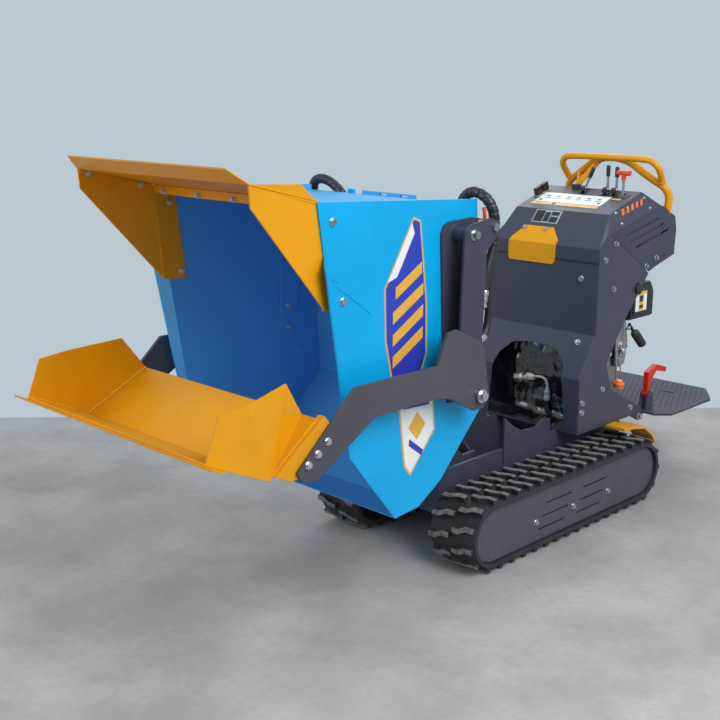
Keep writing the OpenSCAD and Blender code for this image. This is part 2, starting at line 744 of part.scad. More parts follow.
module engine_block() {
    fin_t = 5;
    fin_reach = 18;
    color(zinc) machine() {
        translate([block_x - block_w / 2, block_y, deck_z]) cube([block_w, block_l, block_h]);
        translate([block_x - 50, block_y + 30, engine_top - weld])
            cube([100, 120, tank_z - engine_top + weld]);
        difference() {
            for (i = [0:4]) translate([block_x - 50 - fin_reach, block_y + 14, engine_top + 30 + i * 26])
                cube([100 + 2 * fin_reach, 150, fin_t]);
            translate([block_x - 50 - fin_reach - cut, port_at.x, port_at.y])
                cube([fin_reach + cut, port_w, port_w]);
        }
        translate([block_x + block_w / 2 - weld, block_y + 22, deck_z + 60]) rotate([0, 90, 0])
            cylinder(d = 90, h = 62 + weld);
        translate([block_x + 50 - weld, block_y + 70, filter_at.z - 62])
            cube([filter_at.x - block_x - 50 + weld, 46, 44]);
        translate([block_x + 50 + 66, block_y + 70, filter_at.z - 62]) cube([44, 46, 62]);
    }
}

module fuel_tank() {
    color(black) machine() difference() {
        translate([block_x - tank_l / 2, block_y - 40, tank_z]) cube([tank_l, 210, 100]);
        for (s = [-1, 1]) translate([block_x + s * tank_l / 2, block_y - 41, tank_z + 100]) rotate([0, 45, 0])
            cube([40, 430, 40], center = true);
    }
}

module fuel_cap() {
    color(black) machine() translate([block_x - 50, block_y + 60, tank_z + 100 + side_gap]) {
        cylinder(d = cap_d, h = 22);
        for (a = [0:30:330]) rotate(a) translate([cap_d / 2, 0, 0]) cylinder(d = 7, h = 22);
    }
}

module air_filter() {
    color(black) machine() translate(filter_at) {
        cube([62, 150, 48]);
        translate([4, 4, 0]) cube([54, 142, 128]);
    }
}

module muffler() {
    color(black) machine() {
        translate([block_x - block_w / 2 - 90, block_y + 30, engine_top + 20]) cube([90, 140, 90]);
        translate([block_x - block_w / 2 - weld, port_at.x, port_at.y])
            cube([block_w / 2 - 50 + weld, port_w, port_w]);
        bar([block_x - block_w / 2 - 60, block_y + 160, engine_top + 65],
            [block_x - block_w / 2 - 60, block_y + 215, engine_top + 50], 30);
    }
}

recoil_at = [block_x - block_w / 2, block_y + block_l / 2, deck_z + block_h / 2];
recoil_w = 46;
rope_at = recoil_at + [-recoil_w, 40, 58];

module recoil_cover() {
    color(black) machine() difference() {
        translate(recoil_at - [recoil_w, 0, 0]) rotate([0, 90, 0]) cylinder(d = 160, h = recoil_w);
        for (a = [0:40:320]) translate(recoil_at) rotate([a, 0, 0]) translate([-recoil_w - cut, -5, 34])
            cube([8, 10, 26]);
        translate(rope_at - [cut, 0, 0]) rotate([0, 90, 0]) cylinder(d = 10, h = 30);
    }
}

// Pull handle with the knot of its rope resting in the cover's hole
module recoil_handle() {
    color(black) machine() translate(rope_at) {
        translate([-22, -30, -8]) cube([18, 60, 16]);
        translate([-6, 0, 0]) rotate([0, 90, 0]) cylinder(d = 8, h = 24);
    }
}

// Hydraulics seen through the arch
oil_at = [-70, 320, deck_z];
pump_at = [70, 320, deck_z];

module oil_tank() {
    color(black) machine() translate(oil_at) {
        cylinder(d = oil_d, h = 210);
        translate([0, 0, 210 - weld]) cylinder(d = oil_d * 0.5, h = 30);
    }
}

module hydraulic_pump() {
    color(zinc) machine() translate(pump_at) {
        translate([-45, -40, 0]) cube([90, 80, 12]);
        translate([-35, -35, 0]) cube([70, 70, 110]);
        translate([0, 0, 60]) rotate([90, 0, 0]) cylinder(d = 40, h = 60);
    }
}

// Valve block hung under the hood, with a slot and a bore for each lever's foot
module control_valve() {
    valve_top = -sheet_t - 0.4;
    valve_h = 56;
    valve_front = lever_run - 45;
    color(dark_grey) machine() on_hood() difference() {
        translate([-115, valve_front, valve_top - valve_h]) cube([290, hood_run - 4 - valve_front, valve_h]);
        for (foot = lever_feet) {
            translate([foot.x - 11, foot.y - slot_down, -lever_drop - 14])
                cube([22, lever_slot_l, lever_drop + 14]);
            translate([foot.x - lever_pin_l / 2 - cut, foot.y, -lever_drop]) rotate([0, 90, 0])
                cylinder(d = lever_pin_d + 2 * pin_gap, h = lever_pin_l + 2 * cut);
        }
    }
}

// Hose from the pump's head down to the deck
pump_hose_d = 20;
pump_route = [[0, 0, 110.5], [0, 0, 130], [6, -20, 151], [15, -55, 152], [22, -84, 126], [25, -95, 85],
    [26, -98, 40], [26, -98, 0.5]];

module pump_hoses() {
    color(black) machine() translate(pump_at) swept_tube(pump_route, pump_hose_d, 35);
}

// Skip, drawn as it stands when carried and then tipped about the corner of floor and nose
skip_half = skip_w / 2;
function tipped(p) = skip_corner + turn(p, tip_angle);
skip_carried = [[-nose_reach, 375], [-nose_reach + 3, 280], [-nose_reach + 54, 184], [0, 0], [skip_floor, 0],
    [skip_floor + skip_lean, skip_h], [5, 538]];
skip_side = [for (p = skip_carried) tipped(p)];
skip_rim = skip_side[5];
wall_foot = skip_side[4] + wall_sink * unit(skip_side[3] - skip_side[4]);
wall_way = unit(skip_rim - wall_foot);
wall_out = [wall_way.y, -wall_way.x];
skip_hollow = [for (i = [0:6]) i == 4 ? wall_foot : skip_side[i]];
skip_bend = skip_side[6];
rim_way = unit(skip_bend - skip_rim);
rim_out = [rim_way.y, -rim_way.x];
rim_run = norm(skip_bend - skip_rim);
skip_lip = skip_side[0];
hinge_lug = [hinge_at + [-30, 22], hinge_at + [-28, -14], hinge_at + [-8, -30], hinge_at + [20, -24],
    hinge_at + [31, 0], hinge_at + [30, 60], hinge_at + [2, 70]];
tip_lug = [tip_rod_at + [-44, -40], tip_rod_at + [-8, -24], tip_rod_at + [18, -16], tip_rod_at + [24, 4],
    tip_rod_at + [14, 20], tip_rod_at + [-47, 40]];
stop_w = 218;
guard_bolts = [[-1132, 1151], [-1098, 948]];
bracket_bolts = [[-686, 790], [-686, 720]];
arm_at = [-640, 628];

// Point of the flared rim, given by its way down from the rear wall and its reach off the side wall
function rim_at(way, reach) = at_x(skip_half - skip_t + reach,
    skip_rim + way * rim_way + (reach - skip_t / 2) * rim_out);

module skip() {
    rim_top = 135;
    rim_low = rim_run - 14;
    wall = concat([for (i = [0:4]) skip_t], [-40, -40]);
    color(sky_blue) machine() difference() {
        union() {
            difference() {
                slab(skip_side, -skip_half, skip_w);
                slab(inset(skip_hollow, wall), -skip_half + skip_t, skip_w - 2 * skip_t);
                slab([wall_foot - 30 * wall_way, skip_rim, skip_rim + 40 * wall_out,
                    wall_foot - 30 * wall_way + 40 * wall_out], -skip_half + skip_t, skip_w - 2 * skip_t);
            }
            both_sides() {
                slab(hinge_lug, post_x - post_t - side_gap, post_t);
                slab(tip_lug, tip_lug_x - 2, tip_lug_t);
                sheet([rim_at(rim_top + 24, rim_flare), rim_at(rim_low, rim_flare * 0.6), rim_at(rim_low, 0),
                    rim_at(rim_top, 0)], [skip_t, 0, 0]);
            }
            translate([-stop_w / 2, wall_foot.x - 3, wall_foot.y - 24]) difference() {
                cube([stop_w, 9, 35]);
                for (x = [75, 160]) translate([x, -cut, 26]) cube([30, 9 + 2 * cut, 5]);
            }
        }
        bar_x(-post_x - cut, 2 * (post_x + cut), hinge_at, hinge_d + 2 * pin_gap);
        bar_x(-40, 80, tip_rod_at, tip_pin_d + 2 * pin_gap);
        both_sides() holes_x(concat(guard_bolts, bracket_bolts), skip_half - skip_t, skip_t);
        both_sides() bar_x(skip_half - skip_t - cut, skip_t + 2 * cut, arm_at, arm_pin_d + 2 * pin_gap);
    }
}

// Guard
guard_front = skip_rim + [-guard_reach, 56];
guard_tip = guard_front + [-43, 35];
guard_low = guard_front + [4, -53];
guard_in = skip_half - skip_t;

module guard_top() {
    lift = [0, 0, guard_t];
    half = guard_half;
    foot = skip_rim + [10, 0.3];
    color(yellow) machine() {
        sheet([at_x(-half + 22, foot), at_x(half - 22, foot), at_x(half, guard_front),
            at_x(-half, guard_front)], lift);
        sheet([at_x(-half, guard_front), at_x(half, guard_front), at_x(half - 30, guard_tip),
            at_x(-half + 30, guard_tip)], lift);
    }
}

module guard_sides() {
    flare = guard_half - 1;
    tab_top = skip_rim - [0, skip_t + 1];
    color(yellow) machine() both_sides() difference() {
        union() {
            sheet([at_x(guard_in, tab_top), [guard_in + 4, -1158, 930], at_x(flare, guard_low),
                at_x(flare, guard_front - [0, 0.3])], [-guard_t, 0, 0]);
            slab([tab_top, [-1160, 930], [-1080, 925], tab_top + [72, -8]], guard_in - guard_t, guard_t);
        }
        holes_x(guard_bolts, guard_in - guard_t, guard_t);
    }
}

// Bracket of two plates on each side of the skip, carrying the shovel's arm and ram
bracket_x = skip_half;
bracket_out = bracket_x + bracket_t + bracket_gap;
ram_x = bracket_x + bracket_t + 20;
ram_at = [-577, 1096];
tie_at = [-676, 1083];
tie_d = 38;
bracket_inner = [[-690, 600], [-590, 600], [-600, 1020], [-556, 1074], [-556, 1112], [-600, 1120],
    [-700, 1116], [-720, 1106], [-730, 1086], [-730, 1060], [-712, 700]];
bracket_outer = [arm_at + [-40, -30], arm_at + [0, -44], arm_at + [32, -24], [-619, 782], [-607, 1032],
    [-556, 1077], [-554, 1108], [-593, 1122], [-680, 1110], [-699, 1096], [-704, 1050], [-712, 817]];

module cylinder_brackets() {
    color(dark_grey) machine() both_sides() difference() {
        union() {
            slab(bracket_inner, bracket_x, bracket_t);
            slab(bracket_outer, bracket_out, bracket_t);
            bar_x(bracket_x + bracket_t - 1, bracket_gap + 2, tie_at, tie_d);
        }
        bar_x(bracket_x - cut, bracket_t + 2 * cut, arm_at, arm_pin_d + 2 * pin_gap);
        bar_x(bracket_out - cut, bracket_t + 2 * cut, arm_at, boss_d + 2 * pin_gap);
        bar_x(bracket_x - cut, 2 * bracket_t + bracket_gap + 2 * cut, ram_at, bolt_d * 1.6 + 2 * pin_gap);
        holes_x(bracket_bolts, bracket_x, bracket_t);
    }
}

// Pins of the arms, the shovel rams' heads and the tipping ram's rod
module skip_pins() {
    color(zinc) machine() {
        both_sides() {
            bar_x(skip_half - skip_t, arm_x + arm_t + side_gap - skip_half + skip_t, arm_at, arm_pin_d);
            bar_x(arm_x + arm_t + side_gap, 10, arm_at, arm_pin_d + 12);
            bar_x(bracket_x, bracket_t * 2 + bracket_gap, ram_at, bolt_d * 1.6);
            translate([bracket_out + bracket_t, ram_at.x, ram_at.y]) rotate([0, 90, 0])
                cylinder(d = bolt_d * 2.6, h = 9, $fn = 6);
        }
        both_sides() bar_x(tip_lug_x - 2, tip_lug_t + 6, tip_rod_at, tip_pin_d);
    }
}

// Bolts of the guard and the brackets
module skip_bolts() {
    color(zinc) machine() both_sides() {
        bolts_x(guard_bolts, skip_half, skip_t + guard_t);
        mirror([1, 0, 0]) bolts_x(bracket_bolts, -skip_half + skip_t, skip_t + bracket_t);
    }
}

// Wrapped hoses from the shovel rams' heads over the skip's floor, ribbed by their spiral guard
hose_bore = 16;
hose_ribs = 34;
rib_depth = 2.5;
left_hose = [[372, -530, 1040], [374, -532, 1075], [379, -538, 1112], [376, -547, 1145], [359, -554, 1171],
    [329, -556, 1184], [299, -556, 1180], [278, -556, 1160], [266, -555, 1130], [259, -554, 1104],
    [256, -553, 1085]];
right_hose = [[372, -530, 1040], [372, -530, 1075], [372, -532, 1112], [368, -540, 1150], [350, -549, 1175],
    [318, -555, 1186], [282, -556, 1182], [248, -556, 1167], [220, -556, 1146], [202, -555, 1118],
    [194, -553, 1085]];

module ribbed_hose(pts, d, bore, ribs) {
    n = 2 * ribs;
    m = 8;
    outer = tube_points(pts, [for (i = [0:n]) d / 2 - (i % 2 == 0 ? rib_depth : 0)], m);
    inner = tube_points(pts, [for (i = [0:n]) bore / 2], m);
    o = len(outer);
    faces = concat(
        tube_faces(n, m, 0), [for (f = tube_faces(n, m, o)) [f[0], f[2], f[1]]],
        [for (k = [0:m - 1]) let (l = (k + 1) % m) each [
            [k, l, o + k], [l, o + l, o + k],
            [n * m + k, o + n * m + k, n * m + l], [n * m + l, o + n * m + k, o + n * m + l]]]);
    polyhedron(points = concat(outer, inner), faces = faces);
}

module skip_hoses() {
    color(black) machine() {
        ribbed_hose(left_hose, hose_d, hose_bore, hose_ribs);
        mirror([1, 0, 0]) ribbed_hose(right_hose, hose_d, hose_bore, hose_ribs);
    }
}

// Shovel
shovel_half = shovel_w / 2;
ear_t = 11.5;
arm_x = max(bracket_out + bracket_t + side_gap, shovel_half + ear_t);
edge_low = [-1582, 641];
edge_top = [-1541, 747];
fold_top = [-1455, 757];
back_top = [-1302, 774];
back_low = [-1235, 677];
floor_end = [-1397, 558];
arm_bolts = [[-1226, 625], [-1259, 600], [-1291, 579]];
back_way = unit(back_low - floor_end);
back_in = [-back_way.y, back_way.x];
ear_run = 14 * back_way + weld * back_in;
ear_side = [floor_end + ear_run, back_low + ear_run, [-1188, 640], [-1300, 548], [-1336, 545]];
crank_angle = 125;
crank_at = arm_at + crank_r * [cos(crank_angle), sin(crank_angle)];

module shovel_bucket() {
    half = shovel_half;
    in_x = [-shovel_t, 0, 0];
    color(yellow) machine() {
        sheet([at_x(-half, edge_low), at_x(half, edge_low), at_x(half, floor_end), at_x(-half, floor_end)],
            [0, 1.5, shovel_t]);
        sheet([at_x(-half, floor_end), at_x(half, floor_end), at_x(half - 4, back_low),
            at_x(-half + 4, back_low)], [0, -3, 4]);
        both_sides() {
            sheet([at_x(half, edge_low), at_x(half - 1, edge_top), at_x(half - 2, fold_top),
                at_x(half, floor_end)], in_x);
            sheet([at_x(half, floor_end), at_x(half - 2, fold_top), at_x(half - 42, back_top),
                at_x(half - 60, back_low)], in_x);
        }
        both_sides() difference() {
            slab(ear_side, half - 12, arm_x - half + 12);
            holes_x(arm_bolts, half - 12, arm_x - half + 12);
        }
    }
}

// Bar bolted under the shovel's front edge
edge_slope = unit(floor_end - edge_low);
edge_front = edge_low - [0, 0.3] - 18 * edge_slope;
edge_back = edge_low - [0, 0.3] + 60 * edge_slope;

module cutting_edge() {
    half = edge_w / 2;
    back_half = shovel_half + 2;
    color(yellow) machine() sheet([at_x(-half, edge_front), at_x(half, edge_front),
        at_x(back_half, edge_back), at_x(-back_half, edge_back)], [0, 0, -6]);
}

// Distance from the middle of the machine's length back to the track centre
track_back = -(edge_front.x + platform_back) / 2;

arm_side = [[-1324, 565], [-1127, 743], [-817, 743], [-778, 826], [-740, 832], [-650, 790], [-620, 760],
    arm_at + [40, 20], arm_at + [44, -10], arm_at + [20, -40], arm_at + [-20, -42], [-760, 640], [-820, 652],
    [-1055, 652], [-1262, 532], [-1310, 540]];

module shovel_arms() {
    crank_x = bracket_x + bracket_t + 29;
    side = unit(crank_at - arm_at);
    across = [-side.y, side.x];
    color(warm_grey) machine() both_sides() difference() {
        union() {
            slab(arm_side, arm_x, arm_t);
            bar_x(crank_x, arm_x - crank_x + 1, arm_at, boss_d);
            slab([arm_at + 20 * across, crank_at + 16 * across, crank_at + 16 * side, crank_at - 16 * across,
                arm_at - 20 * across], crank_x, 10);
        }
        bar_x(crank_x - cut, arm_x + arm_t - crank_x + 2 * cut, arm_at, arm_pin_d + 2 * pin_gap);
        holes_x(arm_bolts, arm_x, arm_t);
    }
}

module shovel_bolts() {
    color(zinc) machine() both_sides() bolts_x(arm_bolts, arm_x + arm_t, arm_t + arm_x - shovel_half + 12);
}

// Ram lying along +X from its head eye, before it is turned to its place
module barrel(d, rod_d, start, length, eye_d, eye_w, pin_d) {
    difference() {
        union() {
            translate([0, 0, -eye_w / 2]) cylinder(d = eye_d, h = eye_w);
            rotate([0, 90, 0]) cylinder(d = d * 0.7, h = start + weld);
            translate([start, 0, 0]) rotate([0, 90, 0]) cylinder(d = d, h = length);
        }
        translate([0, 0, -eye_w]) cylinder(d = pin_d + 2 * pin_gap, h = 2 * eye_w);
        translate([start + 8, 0, 0]) rotate([0, 90, 0]) cylinder(d = d - 8, h = length - 28);
        translate([start + 8, 0, 0]) rotate([0, 90, 0]) cylinder(d = rod_d + 2 * pin_gap, h = length);
    }
}

module rod(d, piston_d, from, to, eye_d, eye_w, pin_d) {
    difference() {
        union() {
            translate([from, 0, 0]) rotate([0, 90, 0]) cylinder(d = d, h = to - from);
            translate([from, 0, 0]) rotate([0, 90, 0]) cylinder(d = piston_d - 0.2, h = 16);
            translate([to, 0, -eye_w / 2]) cylinder(d = eye_d, h = eye_w);
        }
        if (pin_d > 0) translate([to, 0, -eye_w]) cylinder(d = pin_d, h = 2 * eye_w);
    }
}

// Turns a ram from lying along +X to a side plane, heading from its head point to its rod point
module ram_place(x, a, b) {
    translate([x, a.x, a.y]) rotate([heading(a, b), 0, 0]) rotate([90, 0, 90]) children();
}

ram_length = norm(crank_at - ram_at);
tip_length = norm(tip_rod_at - tip_base_at);
ram_barrel_l = 300;
ram_head = 30;
ram_stroke = 110;
tip_barrel_l = 260;

module shovel_barrel() {
    color(yellow) machine() ram_place(ram_x, ram_at, crank_at) {
        barrel(ram_d, ram_rod_d, ram_head, ram_barrel_l, 32, 30, bolt_d * 1.6);
        translate([50, 0, 0]) rotate([-90, 0, 0]) cylinder(d = 16, h = ram_d / 2 + 8);
    }
}

module shovel_rod() {
    color(zinc) machine() ram_place(ram_x, ram_at, crank_at) {
        rod(ram_rod_d, ram_d - 8, ram_head + ram_barrel_l - ram_stroke - 48, ram_length, 30, 16, 0);
    }
}

module shovel_ram_barrel_left() { shovel_barrel(); }

module shovel_ram_barrel_right() { mirror([1, 0, 0]) shovel_barrel(); }

module shovel_ram_rod_left() { shovel_rod(); }

module shovel_ram_rod_right() { mirror([1, 0, 0]) shovel_rod(); }

module tip_ram_barrel() {
    color(black) machine() ram_place(0, tip_base_at, tip_rod_at)
        barrel(tip_ram_d, tip_rod_d, 40, tip_barrel_l, 44, 2 * tip_lug_x - 1, tip_pin_d);
}

module tip_ram_rod() {
    color(zinc) machine() ram_place(0, tip_base_at, tip_rod_at)
        rod(tip_rod_d, tip_ram_d - 8, tip_barrel_l - 20, tip_length, 32, 2 * tip_lug_x - 6, tip_pin_d + 2);
}

// Bolts of the console, the track covers and the front panel
module chassis_bolts() {
    color(zinc) machine() {
        both_sides() {
            bolts_x(cover_bolts, cover_x + cover_t, cover_t + 16);
            bolts_x(side_bolts, plate_x + sheet_t, sheet_t);
        }
        for (p = panel_bolts) translate([p.x, console_front, p.y]) rotate([0, 0, -90]) bolt(3);
    }
}

chassis_frame();
track_frames();
track_belt_left();
track_belt_right();
track_covers();
sprocket_left();
sprocket_right();
idler_left();
idler_right();
roller_front_left();
roller_rear_left();
roller_front_right();
roller_rear_right();
drive_motors();
track_fenders();
platform();
platform_latch();
chassis_pins();
chassis_bolts();
console_sides();
front_panel();
hood();
engine_cover();
catch_plate();
control_plate();
handlebar();
travel_lever_left();
travel_lever_right();
skip_lever();
shovel_lever();
throttle_knob();
choke_knob();
engine_block();
fuel_tank();
fuel_cap();
air_filter();
muffler();
recoil_cover();
recoil_handle();
oil_tank();
hydraulic_pump();
control_valve();
pump_hoses();
skip();
guard_top();
guard_sides();
cylinder_brackets();
skip_pins();
skip_hoses();
skip_bolts();
shovel_bucket();
cutting_edge();
shovel_arms();
shovel_bolts();
shovel_ram_barrel_left();
shovel_ram_rod_left();
shovel_ram_barrel_right();
shovel_ram_rod_right();
tip_ram_barrel();
tip_ram_rod();
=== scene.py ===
"""Looks of a tracked power carrier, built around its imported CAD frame."""

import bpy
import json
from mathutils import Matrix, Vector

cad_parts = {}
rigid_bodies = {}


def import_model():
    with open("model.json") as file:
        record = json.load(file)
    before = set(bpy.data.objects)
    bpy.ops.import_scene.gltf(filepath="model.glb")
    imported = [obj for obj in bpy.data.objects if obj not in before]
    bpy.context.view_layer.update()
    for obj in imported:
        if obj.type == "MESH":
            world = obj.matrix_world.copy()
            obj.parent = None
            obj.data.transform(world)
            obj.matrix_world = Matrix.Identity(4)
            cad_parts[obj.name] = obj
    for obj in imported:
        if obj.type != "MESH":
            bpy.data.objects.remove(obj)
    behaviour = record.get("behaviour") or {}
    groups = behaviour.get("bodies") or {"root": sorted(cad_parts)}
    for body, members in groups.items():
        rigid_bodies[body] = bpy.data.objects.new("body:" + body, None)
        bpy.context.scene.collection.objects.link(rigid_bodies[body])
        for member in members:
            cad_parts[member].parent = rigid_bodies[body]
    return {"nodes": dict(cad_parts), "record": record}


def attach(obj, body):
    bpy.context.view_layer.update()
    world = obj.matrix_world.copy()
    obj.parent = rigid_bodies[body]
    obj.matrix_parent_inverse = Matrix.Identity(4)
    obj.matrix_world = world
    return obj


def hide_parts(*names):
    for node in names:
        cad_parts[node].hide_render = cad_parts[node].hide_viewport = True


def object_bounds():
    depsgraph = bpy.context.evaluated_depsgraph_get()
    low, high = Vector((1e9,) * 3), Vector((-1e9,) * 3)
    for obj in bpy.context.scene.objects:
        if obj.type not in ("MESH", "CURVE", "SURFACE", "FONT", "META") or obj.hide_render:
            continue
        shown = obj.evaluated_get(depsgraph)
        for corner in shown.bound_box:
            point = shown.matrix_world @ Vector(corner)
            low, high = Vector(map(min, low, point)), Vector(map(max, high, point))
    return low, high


bl_info = {
    "name": "Tracked power carrier",
    "version": (1, 0, 0),
    "blender": (4, 5, 0),
    "location": "View3D > Sidebar > Carrier",
    "description": "Dresses the CAD frame of a tracked carrier with its paint, hoses, labels and engine",
    "category": "Object",
}

import json
import math

import bmesh
import bpy
from bpy.props import FloatProperty, FloatVectorProperty, PointerProperty
from mathutils import Vector, noise

for start_object in list(bpy.data.objects):
    bpy.data.objects.remove(start_object)
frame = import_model()
CAD_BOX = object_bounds()
NODES = frame["nodes"]

# Distance from the middle of the machine back to its track centre
TRACK_BACK = CAD_BOX[1][1] - 1.066


def at(x, y, z):
    """Point of the row frame, from millimetres counted from the track centre."""
    return Vector((x / 1000, y / 1000 + TRACK_BACK, z / 1000))


def side(x, points):
    """Points of the row frame on a side plane, from [y, z] pairs in millimetres."""
    return [at(x, y, z) for y, z in points]


# Sizes and colours that a user may change

class CarrierPaint(bpy.types.PropertyGroup):
    yellow: FloatVectorProperty(name="Yellow", description="Powder coat of shovel, guard and handlebar",
                                subtype="COLOR", size=3, default=(0.75, 0.315, 0.0))
    grey: FloatVectorProperty(name="Dark grey", description="Powder coat of console and frames",
                              subtype="COLOR", size=3, default=(0.048, 0.049, 0.078))
    warm_grey: FloatVectorProperty(name="Warm grey", description="Powder coat of arms and track covers",
                                   subtype="COLOR", size=3, default=(0.074, 0.069, 0.088))
    blue: FloatVectorProperty(name="Blue", description="Powder coat of the skip",
                              subtype="COLOR", size=3, default=(0.0, 0.365, 0.72))
    navy: FloatVectorProperty(name="Navy", description="Dark band of the stripes on the skip",
                              subtype="COLOR", size=3, default=(0.025, 0.045, 0.42))
    gold: FloatVectorProperty(name="Gold", description="Gold of the stripes and control strips",
                              subtype="COLOR", size=3, default=(0.74, 0.40, 0.045))
    edge_wear: FloatProperty(name="Edge wear", description="How far paint thins along sharp edges",
                             default=0.35, min=0, max=1, subtype="FACTOR")
    dust: FloatProperty(name="Dust", description="Dust on the tracks and low parts",
                        default=0.5, min=0, max=1, subtype="FACTOR")


class CarrierSizes(bpy.types.PropertyGroup):
    bar_d: FloatProperty(name="Bar", description="Diameter of the handlebar tube",
                         default=0.028, unit="LENGTH")
    hose_d: FloatProperty(name="Hose", description="Diameter of the wrapped hoses",
                          default=0.032, unit="LENGTH")
    hose_pitch: FloatProperty(name="Wrap pitch", description="Pitch of the spiral wrap on the hoses",
                              default=0.021, unit="LENGTH")
    rivet_d: FloatProperty(name="Rivet", description="Diameter of a rivet's head",
                           default=0.009, unit="LENGTH")
    weld_w: FloatProperty(name="Weld", description="Width of a weld bead",
                          default=0.007, unit="LENGTH")


# Shader maths

def put(socket, value):
    """Links a value into a socket, or sets the socket's own value."""
    if isinstance(value, Value):
        value.finish.tree.links.new(value.socket, socket)
    elif isinstance(value, (tuple, list)) and len(value) == 3 and socket.type == "RGBA":
        socket.default_value = (*value, 1.0)
    else:
        socket.default_value = value


class Value:
    """Output socket whose operators add Math nodes."""

    def __init__(self, finish, socket):
        self.finish = finish
        self.socket = socket

    def math(self, operation, *others):
        return self.finish.add("ShaderNodeMath", {"operation": operation}, dict(enumerate((self, *others))))

    def __add__(self, other):
        return self.math("ADD", other)

    __radd__ = __add__

    def __sub__(self, other):
        return self.math("SUBTRACT", other)

    def __rsub__(self, other):
        return self.finish.add("ShaderNodeMath", {"operation": "SUBTRACT"}, {0: other, 1: self})

    def __mul__(self, other):
        return self.math("MULTIPLY", other)

    __rmul__ = __mul__

    def __pow__(self, other):
        return self.math("POWER", other)

    def between(self, low, high, start=0.0, end=1.0):
        """Smooth step from start to end as the value goes from low to high."""
        return self.finish.add("ShaderNodeMapRange", {"interpolation_type": "SMOOTHSTEP"},
                               {"Value": self, "From Min": low, "From Max": high,
                                "To Min": start, "To Max": end})


class Finish:
    """One material, its nodes and its surface shader."""

    def __init__(self, name):
        self.material = bpy.data.materials.new(name)
        self.material.use_nodes = True
        self.tree = self.material.node_tree
        self.shader = self.tree.nodes["Principled BSDF"]

    def add(self, kind, settings=None, inputs=None, output=0):
        """Adds a node, sets it up and gives one of its outputs."""
        node = self.tree.nodes.new(kind)
        for key, value in (settings or {}).items():
            setattr(node, key, value)
        for key, value in (inputs or {}).items():
            put(node.inputs[key], value)
        return Value(self, node.outputs[output])

    def place(self):
        return self.add("ShaderNodeTexCoord", output="Object")

    def axes(self, place):
        return [self.add("ShaderNodeSeparateXYZ", None, {0: place}, axis) for axis in range(3)]

    def noise(self, place, scale, detail=2.0, rough=0.5):
        return self.add("ShaderNodeTexNoise", None,
                        {"Vector": place, "Scale": scale, "Detail": detail, "Roughness": rough})

    def mix(self, factor, first, second):
        return self.add("ShaderNodeMix", {"data_type": "RGBA"}, {0: factor, 6: first, 7: second}, 2)

    def dot(self, first, second):
        return self.add("ShaderNodeVectorMath", {"operation": "DOT_PRODUCT"}, {0: first, 1: second}, "Value")

    def stretch(self, place, scale):
        return self.add("ShaderNodeMapping", None, {"Vector": place, "Scale": scale})

    def round_normal(self, radius):
        return self.add("ShaderNodeBevel", {"samples": 4}, {"Radius": radius})

    def edge(self, rounded):
        """How far the rounded normal turns from the true one: 1 along sharp edges."""
        true = self.add("ShaderNodeNewGeometry", output="Normal")
        return self.dot(rounded, true).between(0.995, 0.80)

    def bump(self, height, distance, strength=1.0, normal=None):
        inputs = {"Height": height, "Distance": distance, "Strength": strength}
        if normal is not None:
            inputs["Normal"] = normal
        return self.add("ShaderNodeBump", None, inputs)

    def surface(self, **values):
        """Sets the shader's sockets; an underscore in a name stands for a space."""
        for key, value in values.items():
            put(self.shader.inputs[key.replace("_", " ")], value)
        return self.material

    def glow(self, share, colour):
        """Shows a plain glow of one colour instead of the surface, by a share from 0 to 1."""
        light = self.tree.nodes.new("ShaderNodeEmission")
        light.inputs["Color"].default_value = (*colour, 1.0)
        both = self.tree.nodes.new("ShaderNodeMixShader")
        put(both.inputs[0], share)
        self.tree.links.new(self.shader.outputs[0], both.inputs[1])
        self.tree.links.new(light.outputs[0], both.inputs[2])
        self.tree.links.new(both.outputs[0], self.tree.nodes["Material Output"].inputs["Surface"])


# Radiance of the plain wall behind the floor
WALL = (0.495, 0.58, 0.64)


def shade(colour, factor):
    return tuple(channel * factor for channel in colour)


# Middle of the skip's hollow and the darker blue of the painted shade on its inner faces
SKIP_PAINTED_SHADE = (at(0, -830, 780), (0.10, 0.38, 0.80))


def powder_coat(name, colour, rough=0.40, peel=0.00010, dust=0.25, round_edge=0.0025, inside=None,
                shine=0.3):
    """Satin powder coat: orange peel, uneven gloss, lighter edges from worn paint and a painted highlight,
    dust on low and level places, and painted shade on faces turned toward a given hollow.
    """
    paint = bpy.context.scene.carrier_paint
    f = Finish(name)
    place = f.place()
    z = f.axes(place)[2]
    broad = f.noise(place, 3.2, 4.0, 0.6)
    smudge = f.noise(place, 17.0, 5.0, 0.65)
    rounded = f.round_normal(round_edge)
    edge = f.edge(rounded)
    chips = f.noise(place, 140.0, 3.0).between(0.45, 0.62)
    worn = edge * chips * paint.edge_wear
    lighter = tuple(min(1.0, c * 1.25 + 0.05) for c in colour)
    base = f.mix(broad.between(0.3, 0.7), shade(colour, 0.93), shade(colour, 1.05))
    # Lighter edges: worn paint where chips fall, and a painted highlight along every edge
    base = f.mix(edge * 0.22 + worn * 0.5, base, lighter)
    true = f.add("ShaderNodeTexCoord", output="Normal")
    if inside:
        middle, shade_tone = inside
        way = f.add("ShaderNodeVectorMath", {"operation": "SUBTRACT"}, {0: middle, 1: place})
        # Painted shade: faces turned toward the hollow's middle are mixed toward a darker blue
        base = f.mix(f.dot(way, true).between(0.0, 0.05) * 0.9, base, shade_tone)
    up = f.axes(true)[2]
    low = z.between(0.5, 0.02) * 0.45 + up.between(0.45, 1.0) * 0.5
    film = low * smudge.between(0.42, 0.75) * (dust * paint.dust)
    base = f.mix(film, base, (0.42, 0.40, 0.37))
    gloss = rough + (smudge - 0.5) * 0.16 + film * 0.5
    grain = f.noise(place, 620.0, 1.0)
    normal = f.bump(grain, peel, 0.5, rounded)
    return f.surface(Base_Color=base, Roughness=gloss, Normal=normal, Coat_Weight=0.05, Coat_Roughness=0.25,
                     Specular_IOR_Level=shine)


